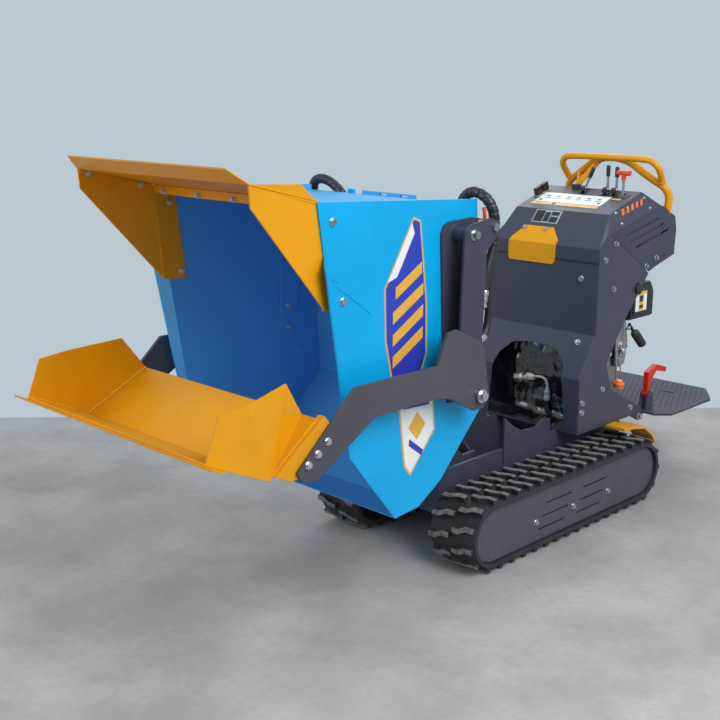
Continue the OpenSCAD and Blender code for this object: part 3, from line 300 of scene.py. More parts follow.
def crumpled_film(name, colour):
    """Thin shiny film, crumpled into soft facets that catch the light."""
    f = Finish(name)
    place = f.place()
    folds = f.noise(f.stretch(place, (1.0, 1.0, 0.7)), 13.0, 1.0, 0.4)
    haze = f.noise(place, 110.0, 2.0)
    normal = f.bump(folds, 0.014, 0.9, f.round_normal(0.0008))
    return f.surface(Base_Color=f.mix(haze * 0.2, colour, shade(colour, 2.0)), Roughness=haze * 0.08 + 0.05,
                     Normal=normal, Coat_Weight=1.0, Coat_Roughness=0.05, Specular_IOR_Level=0.6)


def bright_steel(name, colour=(0.66, 0.67, 0.69), rough=0.24, brush=(900.0, 900.0, 900.0)):
    """Zinc plate: cloudy tint, fine grain and edges painted lighter as a highlight."""
    f = Finish(name)
    place = f.place()
    cloud = f.noise(place, 60.0, 3.0)
    grain = f.noise(f.stretch(place, brush), 1.0, 2.0)
    rounded = f.round_normal(0.0008)
    base = f.mix(cloud.between(0.35, 0.7), shade(colour, 0.86), colour)
    # Painted highlight: edges mixed toward a near-white zinc
    base = f.mix(f.edge(rounded) * 0.5, base, (0.86, 0.87, 0.88))
    gloss = rough + (cloud - 0.5) * 0.2 + (grain - 0.5) * 0.08
    return f.surface(Base_Color=base, Metallic=1.0, Roughness=gloss,
                     Normal=f.bump(grain, 0.00005, 0.4, rounded))


def moulded(name, colour, rough=0.5, grain=0.00012, scale=1100.0, round_edge=0.0015):
    """Moulded plastic with a fine sparked grain and rubbed edges."""
    f = Finish(name)
    place = f.place()
    spark = f.noise(place, scale, 2.0)
    broad = f.noise(place, 22.0, 3.0)
    rounded = f.round_normal(round_edge)
    lighter = tuple(min(1.0, c * 1.4 + 0.02) for c in colour)
    base = f.mix(f.edge(rounded) * 0.35 + broad.between(0.5, 0.8) * 0.12, colour, lighter)
    return f.surface(Base_Color=base, Roughness=rough + (broad - 0.5) * 0.18,
                     Normal=f.bump(spark, grain, 0.6, rounded))


def cast_metal(name, colour=(0.42, 0.43, 0.44), rough=0.42):
    """Sand-cast aluminium: lumpy skin, brighter edges, grime in places."""
    f = Finish(name)
    place = f.place()
    skin = f.noise(place, 420.0, 4.0, 0.7)
    grime = f.noise(place, 34.0, 4.0, 0.6)
    rounded = f.round_normal(0.0015)
    base = f.mix(grime.between(0.5, 0.75), colour, shade(colour, 0.45))
    base = f.mix(f.edge(rounded) * 0.5, base, (0.72, 0.72, 0.72))
    return f.surface(Base_Color=base, Metallic=0.9, Roughness=rough + (skin - 0.5) * 0.3,
                     Normal=f.bump(skin, 0.00025, 0.6, rounded))


def two_part(name, level, grip):
    """Zinc stick below a height and a moulded grip above it."""
    f = Finish(name)
    place = f.place()
    top = f.axes(place)[2].between(level - 0.0004, level + 0.0004)
    cloud = f.noise(place, 90.0, 3.0)
    steel = f.mix(cloud.between(0.35, 0.7), (0.52, 0.53, 0.55), (0.68, 0.69, 0.71))
    return f.surface(Base_Color=f.mix(top, steel, grip), Metallic=1.0 - top,
                     Roughness=0.24 + top * 0.16 + (cloud - 0.5) * 0.14)


def track_rubber(name):
    """Belt rubber: black sides, lug tops lighter with dust and scuffs and a painted highlight, and a painted
    highlight along the lug edges.
    """
    paint = bpy.context.scene.carrier_paint
    f = Finish(name)
    place = f.place()
    _, y, z = f.axes(place)
    idler, sprocket, axle = (-0.442 + TRACK_BACK, 0.406 + TRACK_BACK, 0.121)
    along = y - y.math("MAXIMUM", idler).math("MINIMUM", sprocket)
    rise = z - axle
    out = (along * along + rise * rise) ** 0.5
    top = out.between(0.1165, 0.1195)
    rub = f.noise(place, 55.0, 4.0, 0.65)
    pores = f.noise(place, 700.0, 3.0, 0.6)
    rounded = f.round_normal(0.004)
    edge = f.edge(rounded) * out.between(0.106, 0.118)
    # Lug tops lighter with dust and scuffs, brightened further as a painted highlight, and a painted
    # highlight along the lug edges
    dust_and_highlight = top * rub.between(0.22, 0.60) * 0.85 + edge * 0.7
    silt = f.noise(place, 9.0, 5.0, 0.7).between(0.45, 0.75) * 0.30 * paint.dust
    base = f.mix(dust_and_highlight, (0.021, 0.021, 0.024), (0.235, 0.225, 0.232))
    base = f.mix(silt, base, (0.12, 0.11, 0.10))
    gloss = 0.62 + (rub - 0.5) * 0.25 + dust_and_highlight * 0.2
    return f.surface(Base_Color=base, Roughness=gloss, Normal=f.bump(pores + rub * 2.0, 0.0004, 0.5, rounded))


FINISHES = {}


def make_finishes():
    paint = bpy.context.scene.carrier_paint
    FINISHES.update({
        "yellow_paint": powder_coat("yellow powder coat", paint.yellow, 0.36),
        "dark_grey_paint": powder_coat("dark grey powder coat", paint.grey, 0.44, dust=0.15),
        "panel": powder_coat("panel powder coat", paint.grey, 0.42, dust=0.08, round_edge=0.007, shine=0.45),
        "warm_grey_paint": powder_coat("warm grey powder coat", paint.warm_grey, 0.46),
        "blue_paint": powder_coat("blue powder coat", paint.blue, 0.36),
        "black_rubber": track_rubber("track rubber"),
        "black_plastic": moulded("black plastic", (0.018, 0.018, 0.020), 0.42),
        "black_paint": powder_coat("black enamel", (0.018, 0.018, 0.021), 0.24, 0.00006),
        "zinc_steel": bright_steel("zinc plate"),
        "cast_aluminium": cast_metal("cast aluminium"),
        "red_plastic": moulded("red plastic", (0.72, 0.045, 0.012), 0.34),
        "red_paint": powder_coat("red powder coat", (0.62, 0.022, 0.010), 0.36),
        "white_plate": moulded("white plate", (0.80, 0.81, 0.80), 0.36, 0.00003),
        "wrap": moulded("hose wrap", (0.020, 0.017, 0.024), 0.38, 0.00020, 500.0, 0.0006),
        "hose": moulded("hose rubber", (0.016, 0.016, 0.018), 0.46, 0.00015, 700.0, 0.0006),
        "gold": moulded("gold vinyl", tuple(paint.gold), 0.34, 0.00003),
        "navy": moulded("navy vinyl", tuple(paint.navy), 0.34, 0.00003),
        "white_vinyl": moulded("white vinyl", (0.78, 0.78, 0.76), 0.34, 0.00003),
        "plate": bright_steel("label plate", (0.70, 0.71, 0.72), 0.34, (40.0, 1500.0, 1500.0)),
        "ink": moulded("label ink", (0.022, 0.022, 0.026), 0.40, 0.00003),
        "cyan": moulded("label blue", (0.04, 0.36, 0.62), 0.40, 0.00003),
        "orange": moulded("orange plastic", (0.85, 0.17, 0.012), 0.26, 0.00004),
        "film": crumpled_film("black film", (0.006, 0.006, 0.007)),
        "galvanised": powder_coat("galvanised steel", (0.46, 0.47, 0.49), 0.26, dust=0.05, shine=0.7),
        # A lighter copy of the yellow coat, as a painted highlight on the weld beads
        "weld": powder_coat("painted weld", tuple(min(1.0, c * 1.12 + 0.02) for c in paint.yellow), 0.34),
        "grip_coat": powder_coat("grip coat", shade(paint.grey, 1.15), 0.62, 0.00060),
        # The skip's coat carries painted shade on its inner faces
        "skip": powder_coat("skip powder coat", paint.blue, 0.34, inside=SKIP_PAINTED_SHADE),
        "travel_stick": two_part("travel lever", 1.156, (0.018, 0.018, 0.020)),
        "skip_stick": two_part("skip lever", 1.147, (0.018, 0.018, 0.020)),
        "shovel_stick": two_part("shovel lever", 1.146, (0.72, 0.045, 0.012)),
    })


# Nodes whose finish differs from that of their slot
NODE_FINISH = {"skip": "skip", "hood": "panel", "front_panel": "panel", "console_sides": "panel",
               "platform": "grip_coat", "travel_lever_left": "travel_stick",
               "travel_lever_right": "travel_stick", "skip_lever": "skip_stick",
               "shovel_lever": "shovel_stick"}


# Shapes

def curve_points(points, count):
    """Points at even shares of a smooth curve through the given points, both ends kept."""
    last = len(points) - 1
    out = []
    for i in range(count + 1):
        u = i / count * last
        k = min(int(u), last - 1)
        t = u - k
        a, b, c, d = (points[max(k - 1, 0)], points[k], points[k + 1], points[min(k + 2, last)])
        bend = (2 * a - 5 * b + 4 * c - d) * t ** 2 + (3 * b - a - 3 * c + d) * t ** 3
        out.append(0.5 * (2 * b + (c - a) * t + bend))
    return out


def even_points(points, step):
    """Points a fixed step apart along a line of points."""
    out = [points[0]]
    left = step
    for a, b in zip(points, points[1:]):
        run = (b - a).length
        while run >= left > 0:
            a = a + (b - a) * (left / run)
            run -= left
            out.append(a)
            left = step
        left -= run
    return out


def path_frames(path):
    """A forward, side and up direction at each point of a path, without twist."""
    frames = []
    up = None
    for i, point in enumerate(path):
        way = (path[min(i + 1, len(path) - 1)] - path[max(i - 1, 0)]).normalized()
        if up is None:
            up = way.orthogonal().normalized()
        up = (up - way * up.dot(way)).normalized()
        frames.append((way, way.cross(up), up))
    return frames


class Shape:
    """Mesh under construction, in metres of the row frame."""

    def __init__(self):
        self.bm = bmesh.new()

    def ring(self, points):
        return [self.bm.verts.new(p) for p in points]

    def round_ring(self, middle, across, up, sides, radius):
        """Ring about a point, with the radius as a function of the angle."""
        angles = [2 * math.pi * k / sides for k in range(sides)]
        return self.ring([middle + radius(a) * (math.cos(a) * across + math.sin(a) * up) for a in angles])

    def skin(self, rings):
        """Faces between rings of equal length, with both ends closed."""
        for a, b in zip(rings, rings[1:]):
            n = len(a)
            for i in range(n):
                self.bm.faces.new((a[i], a[(i + 1) % n], b[(i + 1) % n], b[i]))
        self.bm.faces.new(list(reversed(rings[0])))
        self.bm.faces.new(rings[-1])
        return self

    def prism(self, points, way):
        """Solid between a flat outline and the same outline moved by a vector."""
        return self.skin([self.ring(points), self.ring([Vector(p) + Vector(way) for p in points])])

    def block(self, low, high):
        (x0, y0, z0), (x1, y1, z1) = low, high
        corners = ((x0, y0, z0), (x1, y0, z0), (x1, y1, z0), (x0, y1, z0))
        return self.prism([Vector(corner) for corner in corners], (0, 0, z1 - z0))

    def tube(self, path, radius, sides=20):
        """Round tube along a path; radius is a number or a function of the point's index and the angle."""
        size = radius if callable(radius) else (lambda i, a: radius)
        return self.skin([self.round_ring(point, across, up, sides, lambda a, i=i: size(i, a))
                          for i, (point, (_, across, up)) in enumerate(zip(path, path_frames(path)))])

    def lathe(self, base, axis, profile, sides):
        """Round solid from (height, radius) pairs along an axis; six sides give a hexagon."""
        way = Vector(axis).normalized()
        across = way.orthogonal().normalized()
        up = way.cross(across)
        return self.skin([self.round_ring(base + way * height, across, up, sides, lambda a, r=radius: r)
                          for height, radius in profile])

    def build(self, name, body, slot, finish=None, bevel=0.0, sharp=32.0, replaces=()):
        """Makes the piece, gives it its finish and lets it ride on its body."""
        bmesh.ops.recalc_face_normals(self.bm, faces=self.bm.faces)
        for face in self.bm.faces:
            face.smooth = True
        for edge in self.bm.edges:
            edge.smooth = edge.calc_face_angle(0.0) < math.radians(sharp)
        mesh = bpy.data.meshes.new(name)
        self.bm.to_mesh(mesh)
        self.bm.free()
        return dress(name, mesh, body, slot, finish, bevel, replaces)


def dress(name, mesh, body, slot, finish=None, bevel=0.0, replaces=()):
    """Puts a finished mesh into the scene as a piece of the object."""
    piece = bpy.data.objects.new(name, mesh)
    bpy.context.scene.collection.objects.link(piece)
    mesh.materials.clear()
    mesh.materials.append(finish or FINISHES[slot])
    if bevel:
        modifier = piece.modifiers.new("edges", "BEVEL")
        modifier.width = bevel
        modifier.segments = 2
        modifier.limit_method = "ANGLE"
        modifier.angle_limit = math.radians(30)
    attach(piece, body)
    if replaces:
        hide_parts(*replaces)
    return piece


# Repeats, made with Geometry Nodes

class NodeTree:
    """Geometry node tree that sets one piece at many points, sized by its width and height."""

    def __init__(self, name):
        self.tree = bpy.data.node_groups.new(name, "GeometryNodeTree")
        self.tree.interface.new_socket("Geometry", in_out="INPUT", socket_type="NodeSocketGeometry")
        self.tree.interface.new_socket("Geometry", in_out="OUTPUT", socket_type="NodeSocketGeometry")
        self.source = self.tree.nodes.new("NodeGroupInput")
        self.sink = self.tree.nodes.new("NodeGroupOutput")
        self.keys = {}
        self.width = self.size("Width")
        self.height = self.size("Height")
        self.material = self.size("Material", "NodeSocketMaterial")

    def size(self, name, kind="NodeSocketFloat"):
        item = self.tree.interface.new_socket(name, in_out="INPUT", socket_type=kind)
        self.keys[name] = item.identifier
        return self.source.outputs[name]

    def add(self, kind, settings=None, inputs=None, output=0):
        node = self.tree.nodes.new(kind)
        for key, value in (settings or {}).items():
            setattr(node, key, value)
        for key, value in (inputs or {}).items():
            if isinstance(value, bpy.types.NodeSocket):
                self.tree.links.new(value, node.inputs[key])
            else:
                node.inputs[key].default_value = value
        return node.outputs[output]

    def set_out(self, piece, across):
        """Copies of a piece at the points, along each point's own direction."""
        way = self.add("GeometryNodeInputNamedAttribute", {"data_type": "FLOAT_VECTOR"}, {"Name": "way"})
        turn = self.add("FunctionNodeAlignRotationToVector", {"axis": "Z"}, {"Vector": way})
        scale = self.add("ShaderNodeCombineXYZ", None, {0: across, 1: across, 2: self.height})
        points = self.add("GeometryNodeMeshToPoints", None, {0: self.source.outputs[0]})
        return self.add("GeometryNodeInstanceOnPoints", None,
                        {"Points": points, "Instance": piece, "Rotation": turn, "Scale": scale})

    def end(self, geometry):
        real = self.add("GeometryNodeRealizeInstances", None, {0: geometry})
        done = self.add("GeometryNodeSetMaterial", None, {"Geometry": real, "Material": self.material})
        self.tree.links.new(done, self.sink.inputs[0])
        return self


def head_tree(name, sides, crown):
    """Tree of low heads, each on a round bed."""
    tree = NodeTree(name)
    flat = tree.add("GeometryNodeMeshCone", {"fill_type": "NGON"},
                    {"Vertices": sides, "Radius Bottom": 0.5, "Radius Top": 0.5 * crown, "Depth": 1.0})
    bed = tree.add("GeometryNodeMeshCylinder", {"fill_type": "NGON"},
                   {"Vertices": 16, "Radius": 0.66, "Depth": 0.3})
    both = tree.tree.nodes.new("GeometryNodeJoinGeometry")
    tree.tree.links.new(bed, both.inputs[0])
    tree.tree.links.new(flat, both.inputs[0])
    return tree.end(tree.set_out(both.outputs[0], tree.width))


def bead_tree(name):
    """Tree of overlapping flat drops of uneven width, as a weld bead."""
    tree = NodeTree(name)
    drop = tree.add("GeometryNodeMeshIcoSphere", None, {"Radius": 0.5, "Subdivisions": 2})
    wobble = tree.add("FunctionNodeRandomValue", {"data_type": "FLOAT"}, {2: 0.85, 3: 1.12, "Seed": 7}, 1)
    across = tree.add("ShaderNodeMath", {"operation": "MULTIPLY"}, {0: tree.width, 1: wobble})
    return tree.end(tree.add("GeometryNodeSetShadeSmooth", None, {0: tree.set_out(drop, across)}))


def repeat(tree, name, spots, body, slot, finish=None, **sizes):
    """Runs a tree on a list of (point, direction) spots and keeps the plain mesh it gives."""
    mesh = bpy.data.meshes.new(name + "_spots")
    mesh.from_pydata([p for p, _ in spots], [], [])
    way = mesh.attributes.new("way", "FLOAT_VECTOR", "POINT")
    for i, (_, direction) in enumerate(spots):
        way.data[i].vector = direction
    holder = bpy.data.objects.new(name + "_spots", mesh)
    bpy.context.scene.collection.objects.link(holder)
    modifier = holder.modifiers.new("repeat", "NODES")
    modifier.node_group = tree.tree
    for key, value in {**sizes, "Material": finish or FINISHES[slot]}.items():
        modifier[tree.keys[key]] = value
    seen = holder.evaluated_get(bpy.context.evaluated_depsgraph_get())
    plain = bpy.data.meshes.new_from_object(seen)
    holder.modifiers.remove(modifier)
    bpy.data.objects.remove(holder)
    plain.name = name
    return dress(name, plain, body, slot, finish)


def heads(name, spots, body, width, height, sides=6, crown=0.9, slot="zinc_steel", finish=None):
    """Sets bolt heads, nuts, rivets or studs at spots."""
    tree = head_tree(name.replace("_", " "), sides, crown)
    return repeat(tree, name, spots, body, slot, finish, Width=width, Height=height)


def beads(name, spots, body, slot, width, height, finish=None):
    """Lays weld beads along spots."""
    tree = bead_tree(name.replace("_", " "))
    return repeat(tree, name, spots, body, slot, finish, Width=width, Height=height)


def seam(a, b, normal, width):
    """Spots along a weld between two points."""
    count = max(2, int((b - a).length / (width * 0.42)))
    return [(a + (b - a) * (i / count), normal) for i in range(count + 1)]


class CARRIER_OT_paint(bpy.types.Operator):
    """Gives every CAD node the finish of its material slot"""
    bl_idname = "carrier.paint"
    bl_label = "Paint the frame"

    def execute(self, context):
        make_finishes()
        for entry in frame["record"]["subparts"]:
            node = NODES[entry["node"]]
            node.data.materials.clear()
            node.data.materials.append(FINISHES[NODE_FINISH.get(entry["node"], entry["material_slot"])])
        return {"FINISHED"}


# Routes and outlines of the pieces, in millimetres from the track centre

BAR_HALF = ((214, 678, 1010), (218, 680, 1050), (219, 678, 1086), (203, 667, 1116), (162, 653, 1143),
            (120, 643, 1171), (80, 639, 1197), (38, 637, 1211))
BAR_MIDDLE = (0, 636, 1214)
GRIP_HALF = ((202, 655, 1134), (208, 634, 1162), (206, 613, 1190), (183, 603, 1211), (148, 600, 1216),
             (110, 600, 1217), (72, 600, 1217), (36, 600, 1217))
GRIP_MIDDLE = (0, 600, 1217)
BRACE_FOOT = (-76, 528, 1112)
BRACE_TOPS = ((-149, 649, 1153), (-50, 637, 1207))
LEFT_HOSE = ((372, -530, 1040), (374, -532, 1075), (379, -538, 1112), (376, -547, 1145), (359, -554, 1171),
             (329, -556, 1184), (299, -556, 1180), (278, -556, 1160), (266, -555, 1130), (259, -554, 1104),
             (256, -553, 1085))
RIGHT_HOSE = ((-372, -530, 1040), (-372, -530, 1075), (-372, -532, 1112), (-368, -540, 1150),
              (-350, -549, 1175), (-318, -555, 1186), (-282, -556, 1182), (-248, -556, 1167),
              (-220, -556, 1146), (-202, -555, 1118), (-194, -553, 1085))
STEEL_LINE = ((-553, 1066), (-552, 1040), (-540, 990), (-522, 900), (-512, 800), (-508, 690))
HOSE_TAG = ((364, -565, 1104), (366, -566, 1124), (362, -566, 1146))
RAM_HOSE = ((372, -530, 1046), (372, -540, 1012), (372, -554, 975), (372, -564, 935), (373, -570, 905),
            (373, -574, 884))
RETURN_HOSE = ((370, -524, 1046), (369, -530, 1000), (369, -537, 940), (369, -541, 885), (370, -543, 838),
               (371, -551, 802), (373, -570, 779), (374, -596, 771))
PUMP_HOSE = ((42, 222, 372), (43, 222, 345), (52, 224, 320), (78, 241, 309), (108, 276, 314), (116, 306, 330),
             (112, 322, 348))
PUMP_ELBOW = ((-34, 224, 440), (-4, 223, 446), (18, 222, 447), (34, 222, 440), (41, 222, 424), (42, 222, 410))

# Outer face of the skip's walls, and outlines on it and inside the walls
SKIP_FACE = 345.0
SKIP_CREASES = (((-1118, 987), (-1055, 944), (-996, 901)), ((-1136, 1010), (-1124, 1002), (-1112, 1000)))
SKIP_TAB = ((-168, -580, 1140), (-142, -571, 1165))
STRIP_FACE = 339.9
STRIP = ((-724, 698), (-655, 698), (-629, 880), (-640, 1092), (-704, 1092), (-710, 963))
FLAG = ((-838, 1140), (-808, 1128), (-780, 900), (-778, 760), (-800, 708), (-918, 704), (-944, 820),
        (-948, 960))
FLAG_BARS = [((-915, z), (-915, z + 32), (-796, z + 100), (-796, z + 68)) for z in (740, 800, 860)] + [
    ((-905, 926), (-905, 958), (-802, 1018), (-802, 986))]
FLAG_WEDGE = ((-936, 974), (-843, 1124), (-833, 1096), (-900, 986))
PENNANT = ((-887, 645), (-753, 639), (-746, 535), (-840, 427), (-861, 453))
PENNANT_BARS = [((-815, 600), (-780, 560), (-815, 520), (-850, 560)),
                ((-872, 632), (-765, 627), (-766, 612), (-869, 617)),
                ((-848, 508), (-796, 470), (-788, 484), (-846, 528))]

# Bracket and arm heads of the skip, and the ram's ports as y, z, radius in metres and rise
BRACKET_HEAD = (411.2, -666, 1082)
PIVOT_NUT = (432.5, -640, 628)
BRACKET_BOSS = (-676, 1083, 20)
BRACKET_PLATES = (353.5, 402.5)
RAM_X = 373
RAM_PORTS = ((-630, 866, 0.010, 0.05), (-641, 797, 0.009, -0.40))

GUARD_FOOT = ((-335, -1187, 1180), (335, -1183, 1204))
GUARD_CHEEK = ((362, -1405, 1259), (351, -1239, 1250), (343.5, -1184, 1205), (341, -1181, 1196),
               (361.5, -1404, 1250))
GUARD_FLANGE = ((336, -1181, 1188), (336, -1181, 1203), (358, -1405, 1258), (358, -1405, 1245))
GUARD_HEADS = ((353, -1380, 1245), (338, -1224, 1206), (335, -1132, 1151), (335, -1098, 948),
               (335.5, -686, 790), (335.5, -686, 720))
GUARD_FOOT_HEADS = (-277, -123, 31, 185, 300)

# Corners of the console's sloping front and of its hood, as y and z
SLOPE_FOOT, HOOD_FRONT, HOOD_BACK = (232, 933), (326, 1041), (522, 1107)
SEAL_LINE = ((300, 975), (521, 841), (557, 821))
SEAL_HALF = 1.6
HOOD_RIVETS = ((203, 359, 1045), (209, 527, 1086), (221, 551, 1050), (222, 371, 1008))
PLATE_BOLTS = ((229.1, 328, 943), (229.1, 535, 842), (229.1, 599, 866))
LEVERS = (("skip_lever", -20), ("travel_lever_right", 75), ("travel_lever_left", 112))
BOOT = [(0, 0.011), (0.003, 0.012), (0.005, 0.0095), (0.008, 0.011), (0.010, 0.0085), (0.013, 0.009),
        (0.017, 0.0062)]

FILM_SIDE = ((152, 298), (184, 300), (212, 306), (229, 322), (236, 350), (239, 420), (238, 500), (241, 560),
             (245, 612))
FILM_HALF = 222
FILM_STEPS = 64
FILTER_SHELL = ((464, 655), (610, 655), (610, 742), (590, 778), (500, 786), (464, 760))
FILTER_FACE = ((474, 664), (600, 664), (600, 738), (584, 768), (504, 775), (474, 754))
FILTER_LABELS = (("white", "white_vinyl", 0.0, ((484, 680, 74, 72),)),
                 ("gold", "gold", 0.3, ((506, 682, 30, 62), (484, 744, 74, 8))),
                 ("ink", "ink", 0.6, ((509, 690, 24, 12), (509, 714, 24, 22))))
CARBURETTOR_PLATE = ((408, 500), (470, 486), (486, 560), (470, 640), (424, 652), (404, 600))
CARBURETTOR_TAB = ((430, 520), (462, 514), (470, 556), (440, 566))
LINKS = (((208, 446, 640), (209, 452, 590), (210, 460, 566), (209, 474, 552)),
         ((206, 428, 512), (207, 436, 480), (206, 442, 456), (200, 444, 440)),
         ((204, 410, 620), (206, 400, 560), (207, 406, 520), (205, 414, 470), (200, 420, 440)))
ENGINE_GRIP = ((205, 482, 634), (210, 500, 610), (212, 532, 580), (212, 566, 548))

# Height of the platform's top and place of its hinge bolts
PLATFORM_TOP = 282.0
HINGE_BOLT = (212.0, 575, 268)

# Distance in metres between the rings of a cord, and thickness of a vinyl layer
CORD_STEP = 0.002
VINYL = 0.0004


# Profiles in metres, as heights and radii

def ferrule(radius):
    """Crimped hose end, from the hose outward."""
    return [(0, radius * 0.92), (0.003, radius), (0.018, radius), (0.019, radius * 0.93),
            (0.022, radius * 0.93), (0.023, radius), (0.034, radius), (0.036, radius * 0.72),
            (0.048, radius * 0.66)]


def port(radius):
    """Hexagon port of a ram with its union nut."""
    return [(0, radius * 1.2), (0.024, radius * 1.2), (0.025, radius), (0.036, radius),
            (0.037, radius * 1.25), (0.062, radius * 1.25), (0.064, radius)]


def link_nut(radius):
    """Low nut with chamfered rims."""
    return [(0, radius - 0.0015), (0.002, radius), (0.009, radius), (0.010, radius - 0.0015)]


# Placing

SIDES = (("left", 1), ("right", -1))


def places(points, flip=1):
    """Points of the row frame, from millimetres, with x turned over for a flip of -1."""
    return [at(flip * x, y, z) for x, y, z in points]


def mirrored(points):
    return [Vector((-p.x, p.y, p.z)) for p in points]


def outward(*points):
    """Spots on both sides of the machine that face away from its middle."""
    return [(spot, Vector((s, 0, 0))) for _, s in SIDES for spot in places(points, s)]


def inset(points, distance):
    """Corners of a flat [y, z] outline moved inward by a distance."""
    flat = [Vector(p) for p in points]
    area = sum(a.x * b.y - a.y * b.x for a, b in zip(flat, flat[1:] + flat[:1]))
    turn = 1 if area > 0 else -1
    out = []
    for i, b in enumerate(flat):
        u = (b - flat[i - 1]).normalized()
        v = (flat[(i + 1) % len(flat)] - b).normalized()
        m = turn * (Vector((-u.y, u.x)) + Vector((-v.y, v.x)))
        out.append(b + m * (2 * distance / m.length_squared))
    return out


def on_side(node, s, y, z, lift):
    """Point on a node's left or right face at a place of its side view, raised by a small distance."""
    _, spot, normal, _ = NODES[node].ray_cast(at(s * 300, y, z), Vector((-s, 0, 0)))
    return spot + normal * lift


class Placing:
    """Sloping face with x across and a run up the slope, in millimetres."""

    def __init__(self, foot, top):
        self.foot = at(0, *foot)
        self.way = (at(0, *top) - self.foot).normalized()
        self.up = Vector((1, 0, 0)).cross(self.way)

    def spot(self, x, run, lift):
        return self.foot + Vector((x / 1000, 0, 0)) + self.way * (run / 1000) + self.up * (lift / 1000)

    def sheets(self, name, slot, finish, boxes, lift, thick):
        """Thin rectangles of (x, run, width, height) on the face."""
        shape = Shape()
        for x, run, width, height in boxes:
            corners = ((x, run), (x + width, run), (x + width, run + height), (x, run + height))
            shape.prism([self.spot(a, b, lift * 1000) for a, b in corners], self.up * thick)
        return shape.build(name, "chassis", slot, FINISHES[finish])


# Cords

def lay_cord(name, body, points, diameter, finish, radius=None, count=200, sides=20, every=8, sharp=32.0,
             replaces=()):
    """Lays a stiff cord on a smooth curve through the points and gives its route."""
    route = even_points(curve_points(points, count), CORD_STEP)
    cord = Shape().tube(route, radius or diameter / 2, sides)
    piece = cord.build(name, body, "black_rubber", FINISHES[finish], sharp=sharp, replaces=replaces)
    [tuple(p) for p in route[::every] + route[-1:]]
    return route


def crimp(shape, route, back, radius, sides):
    """Adds a crimped end to the last point of a route, drawn back over the hose by a distance."""
    way = route[-1] - route[-5]
    shape.lathe(route[-1] - way.normalized() * back, way, ferrule(radius), sides)


# Pieces

class CARRIER_OT_handlebar(bpy.types.Operator):
    """Bends the two welded loops of the handlebar, with their brace to the hood"""
    bl_idname = "carrier.handlebar"
    bl_label = "Bend the handlebar"

    def execute(self, context):
        radius = context.scene.carrier_sizes.bar_d / 2
        shape = Shape()
        for half, middle, r in ((BAR_HALF, BAR_MIDDLE, radius), (GRIP_HALF, GRIP_MIDDLE, radius - 0.002)):
            left = places(half)
            route = left + [at(*middle)] + mirrored(reversed(left))
            shape.tube(curve_points(route, 128), r, 24)
        for end in BRACE_TOPS:
            a, b = at(*BRACE_FOOT), at(*end)
            across = (b - a).cross(Vector((0, 1, 0.8))).normalized() * 0.011
            face = across.cross(b - a).normalized() * 0.006
            shape.prism([a - across, a + across, b + across, b - across], face)
        shape.build("handlebar_loops", "chassis", "yellow_paint", bevel=0.0008, sharp=50,
                    replaces=("handlebar",))
        spots = []
        joint = at(*GRIP_HALF[0])
        for middle in (joint, *mirrored([joint])):
            for k in range(22):
                a = 2 * math.pi * k / 22
                around = Vector((0.012 * math.cos(a), 0.012 * math.sin(a), 0.006 * math.sin(a)))
                spots.append((middle + around, Vector((0, 0, 1))))
        beads("handlebar_welds", spots, "chassis", "yellow_paint", 0.007, 0.005)
        return {"FINISHED"}


class CARRIER_OT_hoses(bpy.types.Operator):
    """Lays the wrapped hoses over the skip's rim, the ram hoses and the pump's hose, with their ends"""
    bl_idname = "carrier.hoses"
    bl_label = "Lay the hoses"

    def execute(self, context):
        sizes = context.scene.carrier_sizes

        def wrapped(i, a):
            lap = (i * CORD_STEP / sizes.hose_pitch - a / (2 * math.pi)) % 1.0
            return sizes.hose_d / 2 - 0.0030 * max(0.0, 1 - min(lap, 1 - lap) / 0.16) ** 1.5 - 0.0009 * lap

        for (name, flip), points in zip(SIDES, (LEFT_HOSE, RIGHT_HOSE)):
            route = lay_cord("skip_hose_" + name, "skip", places(points), sizes.hose_d, "wrap", wrapped,
                             count=400, sides=24, every=12, sharp=70,
                             replaces=("skip_hoses",) if flip == 1 else ())
            ends = Shape()
            crimp(ends, route, 0.004, 0.0165, 28)
            for label, diameter, line in (("upper", 0.024, RAM_HOSE), ("lower", 0.023, RETURN_HOSE)):
                run = lay_cord(f"ram_hose_{label}_{name}", "skip", places(line, flip), diameter, "hose")
                crimp(ends, run, 0.03, diameter / 2 * 1.15, 24)
            ends.tube(curve_points(side(points[-1][0], STEEL_LINE), 20), 0.0065, 16)
            ends.build("skip_hose_ends_" + name, "skip", "zinc_steel", sharp=40)
            tag = Shape().tube(curve_points(places(HOSE_TAG, flip), 12), 0.005, 14)
            tag.build("hose_tag_" + name, "skip", "red_plastic")
        pump = lay_cord("pump_hose", "chassis", places(PUMP_HOSE), 0.020, "hose", replaces=("pump_hoses",))
        fitting = Shape()
        fitting.tube(curve_points(places(PUMP_ELBOW), 30), 0.0046, 20)
        fitting.lathe(pump[0] - Vector((0, 0, 0.006)), pump[0] - pump[4], ferrule(0.0115), 28)
        fitting.lathe(at(*PUMP_ELBOW[0]) - Vector((0.016, 0, 0)), (1, 0, 0),
                      [(0, 0.013), (0.002, 0.0145), (0.014, 0.0145), (0.016, 0.013), (0.03, 0.0105)], 6)
        head = Shape().lathe(at(-104, 226, 426), (1, 0, 0.12),
                             [(0, 0.015), (0.003, 0.021), (0.030, 0.022), (0.034, 0.016), (0.046, 0.016),
                              (0.050, 0.020), (0.058, 0.020)], 8)
        head.build("pump_head", "chassis", "cast_aluminium", bevel=0.002, sharp=40)
        crimp(fitting, pump, 0.0, 0.0125, 28)
        fitting.build("pump_fittings", "chassis", "zinc_steel", FINISHES["galvanised"], sharp=40)
        return {"FINISHED"}


